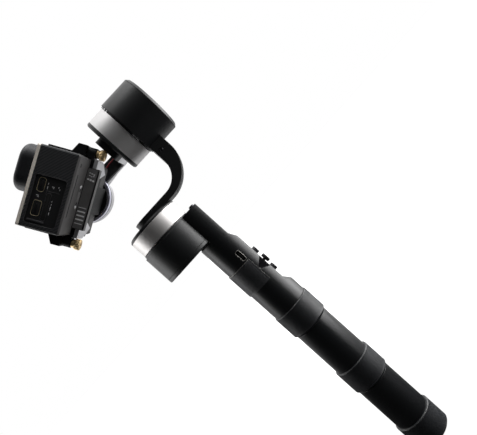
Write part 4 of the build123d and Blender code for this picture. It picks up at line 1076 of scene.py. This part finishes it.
def make_camera():
    """Looks along +Y, rolled so that the handle runs down to the right."""
    # the picture's right and up, before the camera turns a little towards its aim
    right = Vector((0.6678, 0, -0.7443))
    upward = Vector((0.7443, 0, 0.6678))
    aim = (Y + right * 0.0418 + upward * 0.0194).normalized()
    across = (right - aim * right.dot(aim)).normalized()
    data = bpy.data.cameras.new("camera")
    data.sensor_width = 36
    data.lens = 36.98
    data.clip_start = 0.01
    data.clip_end = 20
    obj = bpy.data.objects.new("camera", data)
    axes = Matrix((across, (-aim).cross(across), -aim)).transposed()
    obj.matrix_world = Matrix.Translation((0.0050, -0.271, 0.1645)) @ axes.to_4x4()
    bpy.context.scene.collection.objects.link(obj)
    bpy.context.scene.camera = obj
    return right, upward


def make_stage():
    """A plain pale floor under the handle's end, bright enough to merge with the backdrop."""
    mesh = bpy.data.meshes.new("floor")
    half = 6.0
    corners = [(-half, -half, 0), (half, -half, 0), (half, half, 0), (-half, half, 0)]
    mesh.from_pydata(corners, [], [(0, 1, 2, 3)])
    floor = bpy.data.objects.new("floor", mesh)
    floor.location = (0, 0, cad_box[0].z - 0.0005)
    bpy.context.scene.collection.objects.link(floor)
    mat = shader("floor_white", (0.8, 0.8, 0.8), 0.9, Specular_IOR_Level=0.0)
    vary(mat, "Roughness", noise(mat, 3, 2), 0.85, 0.95)
    # as a reflector it is pale behind the object and dim in front of it
    beyond = add(mat, "ShaderNodeMapRange")
    beyond.inputs["From Min"].default_value = 30.0
    beyond.inputs["From Max"].default_value = 330.0
    link(mat, along(mat, Y), beyond.inputs["Value"])
    tint(mat, beyond.outputs["Result"], (0.03, 0.03, 0.03), (0.8, 0.8, 0.8), 0.0, 1.0)
    rays = add(mat, "ShaderNodeLightPath")
    bsdf_of(mat).inputs["Emission Color"].default_value = (1, 1, 1, 1)
    link(mat, rays.outputs["Is Camera Ray"], bsdf_of(mat).inputs["Emission Strength"])
    dress(floor, mat)


def make_world():
    """White behind everything; as light, bright beyond the object and overhead, dim in front."""
    world = bpy.data.worlds.new("studio")
    bpy.context.scene.world = world
    world.use_nodes = True
    tree = world.node_tree
    background = tree.nodes["Background"]
    background.inputs["Color"].default_value = (1, 1, 1, 1)
    where = tree.nodes.new("ShaderNodeTexCoord")

    def toward(direction, low, high, amount):
        dot = tree.nodes.new("ShaderNodeVectorMath")
        dot.operation = "DOT_PRODUCT"
        tree.links.new(where.outputs["Generated"], dot.inputs[0])
        dot.inputs[1].default_value = direction
        ramp = tree.nodes.new("ShaderNodeMapRange")
        ramp.interpolation_type = "SMOOTHSTEP"
        ramp.inputs["From Min"].default_value = low
        ramp.inputs["From Max"].default_value = high
        ramp.inputs["To Max"].default_value = amount
        tree.links.new(dot.outputs["Value"], ramp.inputs["Value"])
        return ramp.outputs["Result"]

    def total(first, second):
        node = tree.nodes.new("ShaderNodeMath")
        node.operation = "ADD"
        tree.links.new(first, node.inputs[0])
        if isinstance(second, float):
            node.inputs[1].default_value = second
        else:
            tree.links.new(second, node.inputs[1])
        return node.outputs[0]

    glow = total(toward(Y, -0.3, 0.6, 1.05), toward(up_dir, 0.1, 0.95, 0.3))
    glow = total(glow, 0.03)
    rays = tree.nodes.new("ShaderNodeLightPath")
    mix = tree.nodes.new("ShaderNodeMix")
    tree.links.new(rays.outputs["Is Camera Ray"], mix.inputs[0])
    tree.links.new(glow, mix.inputs[2])
    mix.inputs[3].default_value = 1.0
    tree.links.new(mix.outputs[0], background.inputs["Strength"])


bpy.context.scene.view_settings.view_transform = "Standard"
right_dir, up_dir = make_camera()
make_stage()
make_world()
middle = (cad_box[0] + cad_box[1]) / 2
area_light("key", middle + up_dir * 0.55 - right_dir * 0.25 - Y * 0.05, middle, (0.35, 0.35), 1.5)
area_light("edge", middle + X * 0.5 + Y * 0.12, middle, (0.45, 0.6), 3.6)
area_light("side", middle - X * 0.5 + Y * 0.08, middle, (0.3, 0.6), 1.1)
area_light("low", PIVOT + X * 0.35 - Z * 0.15 - Y * 0.05, PIVOT, (0.3, 0.3), 1.3)
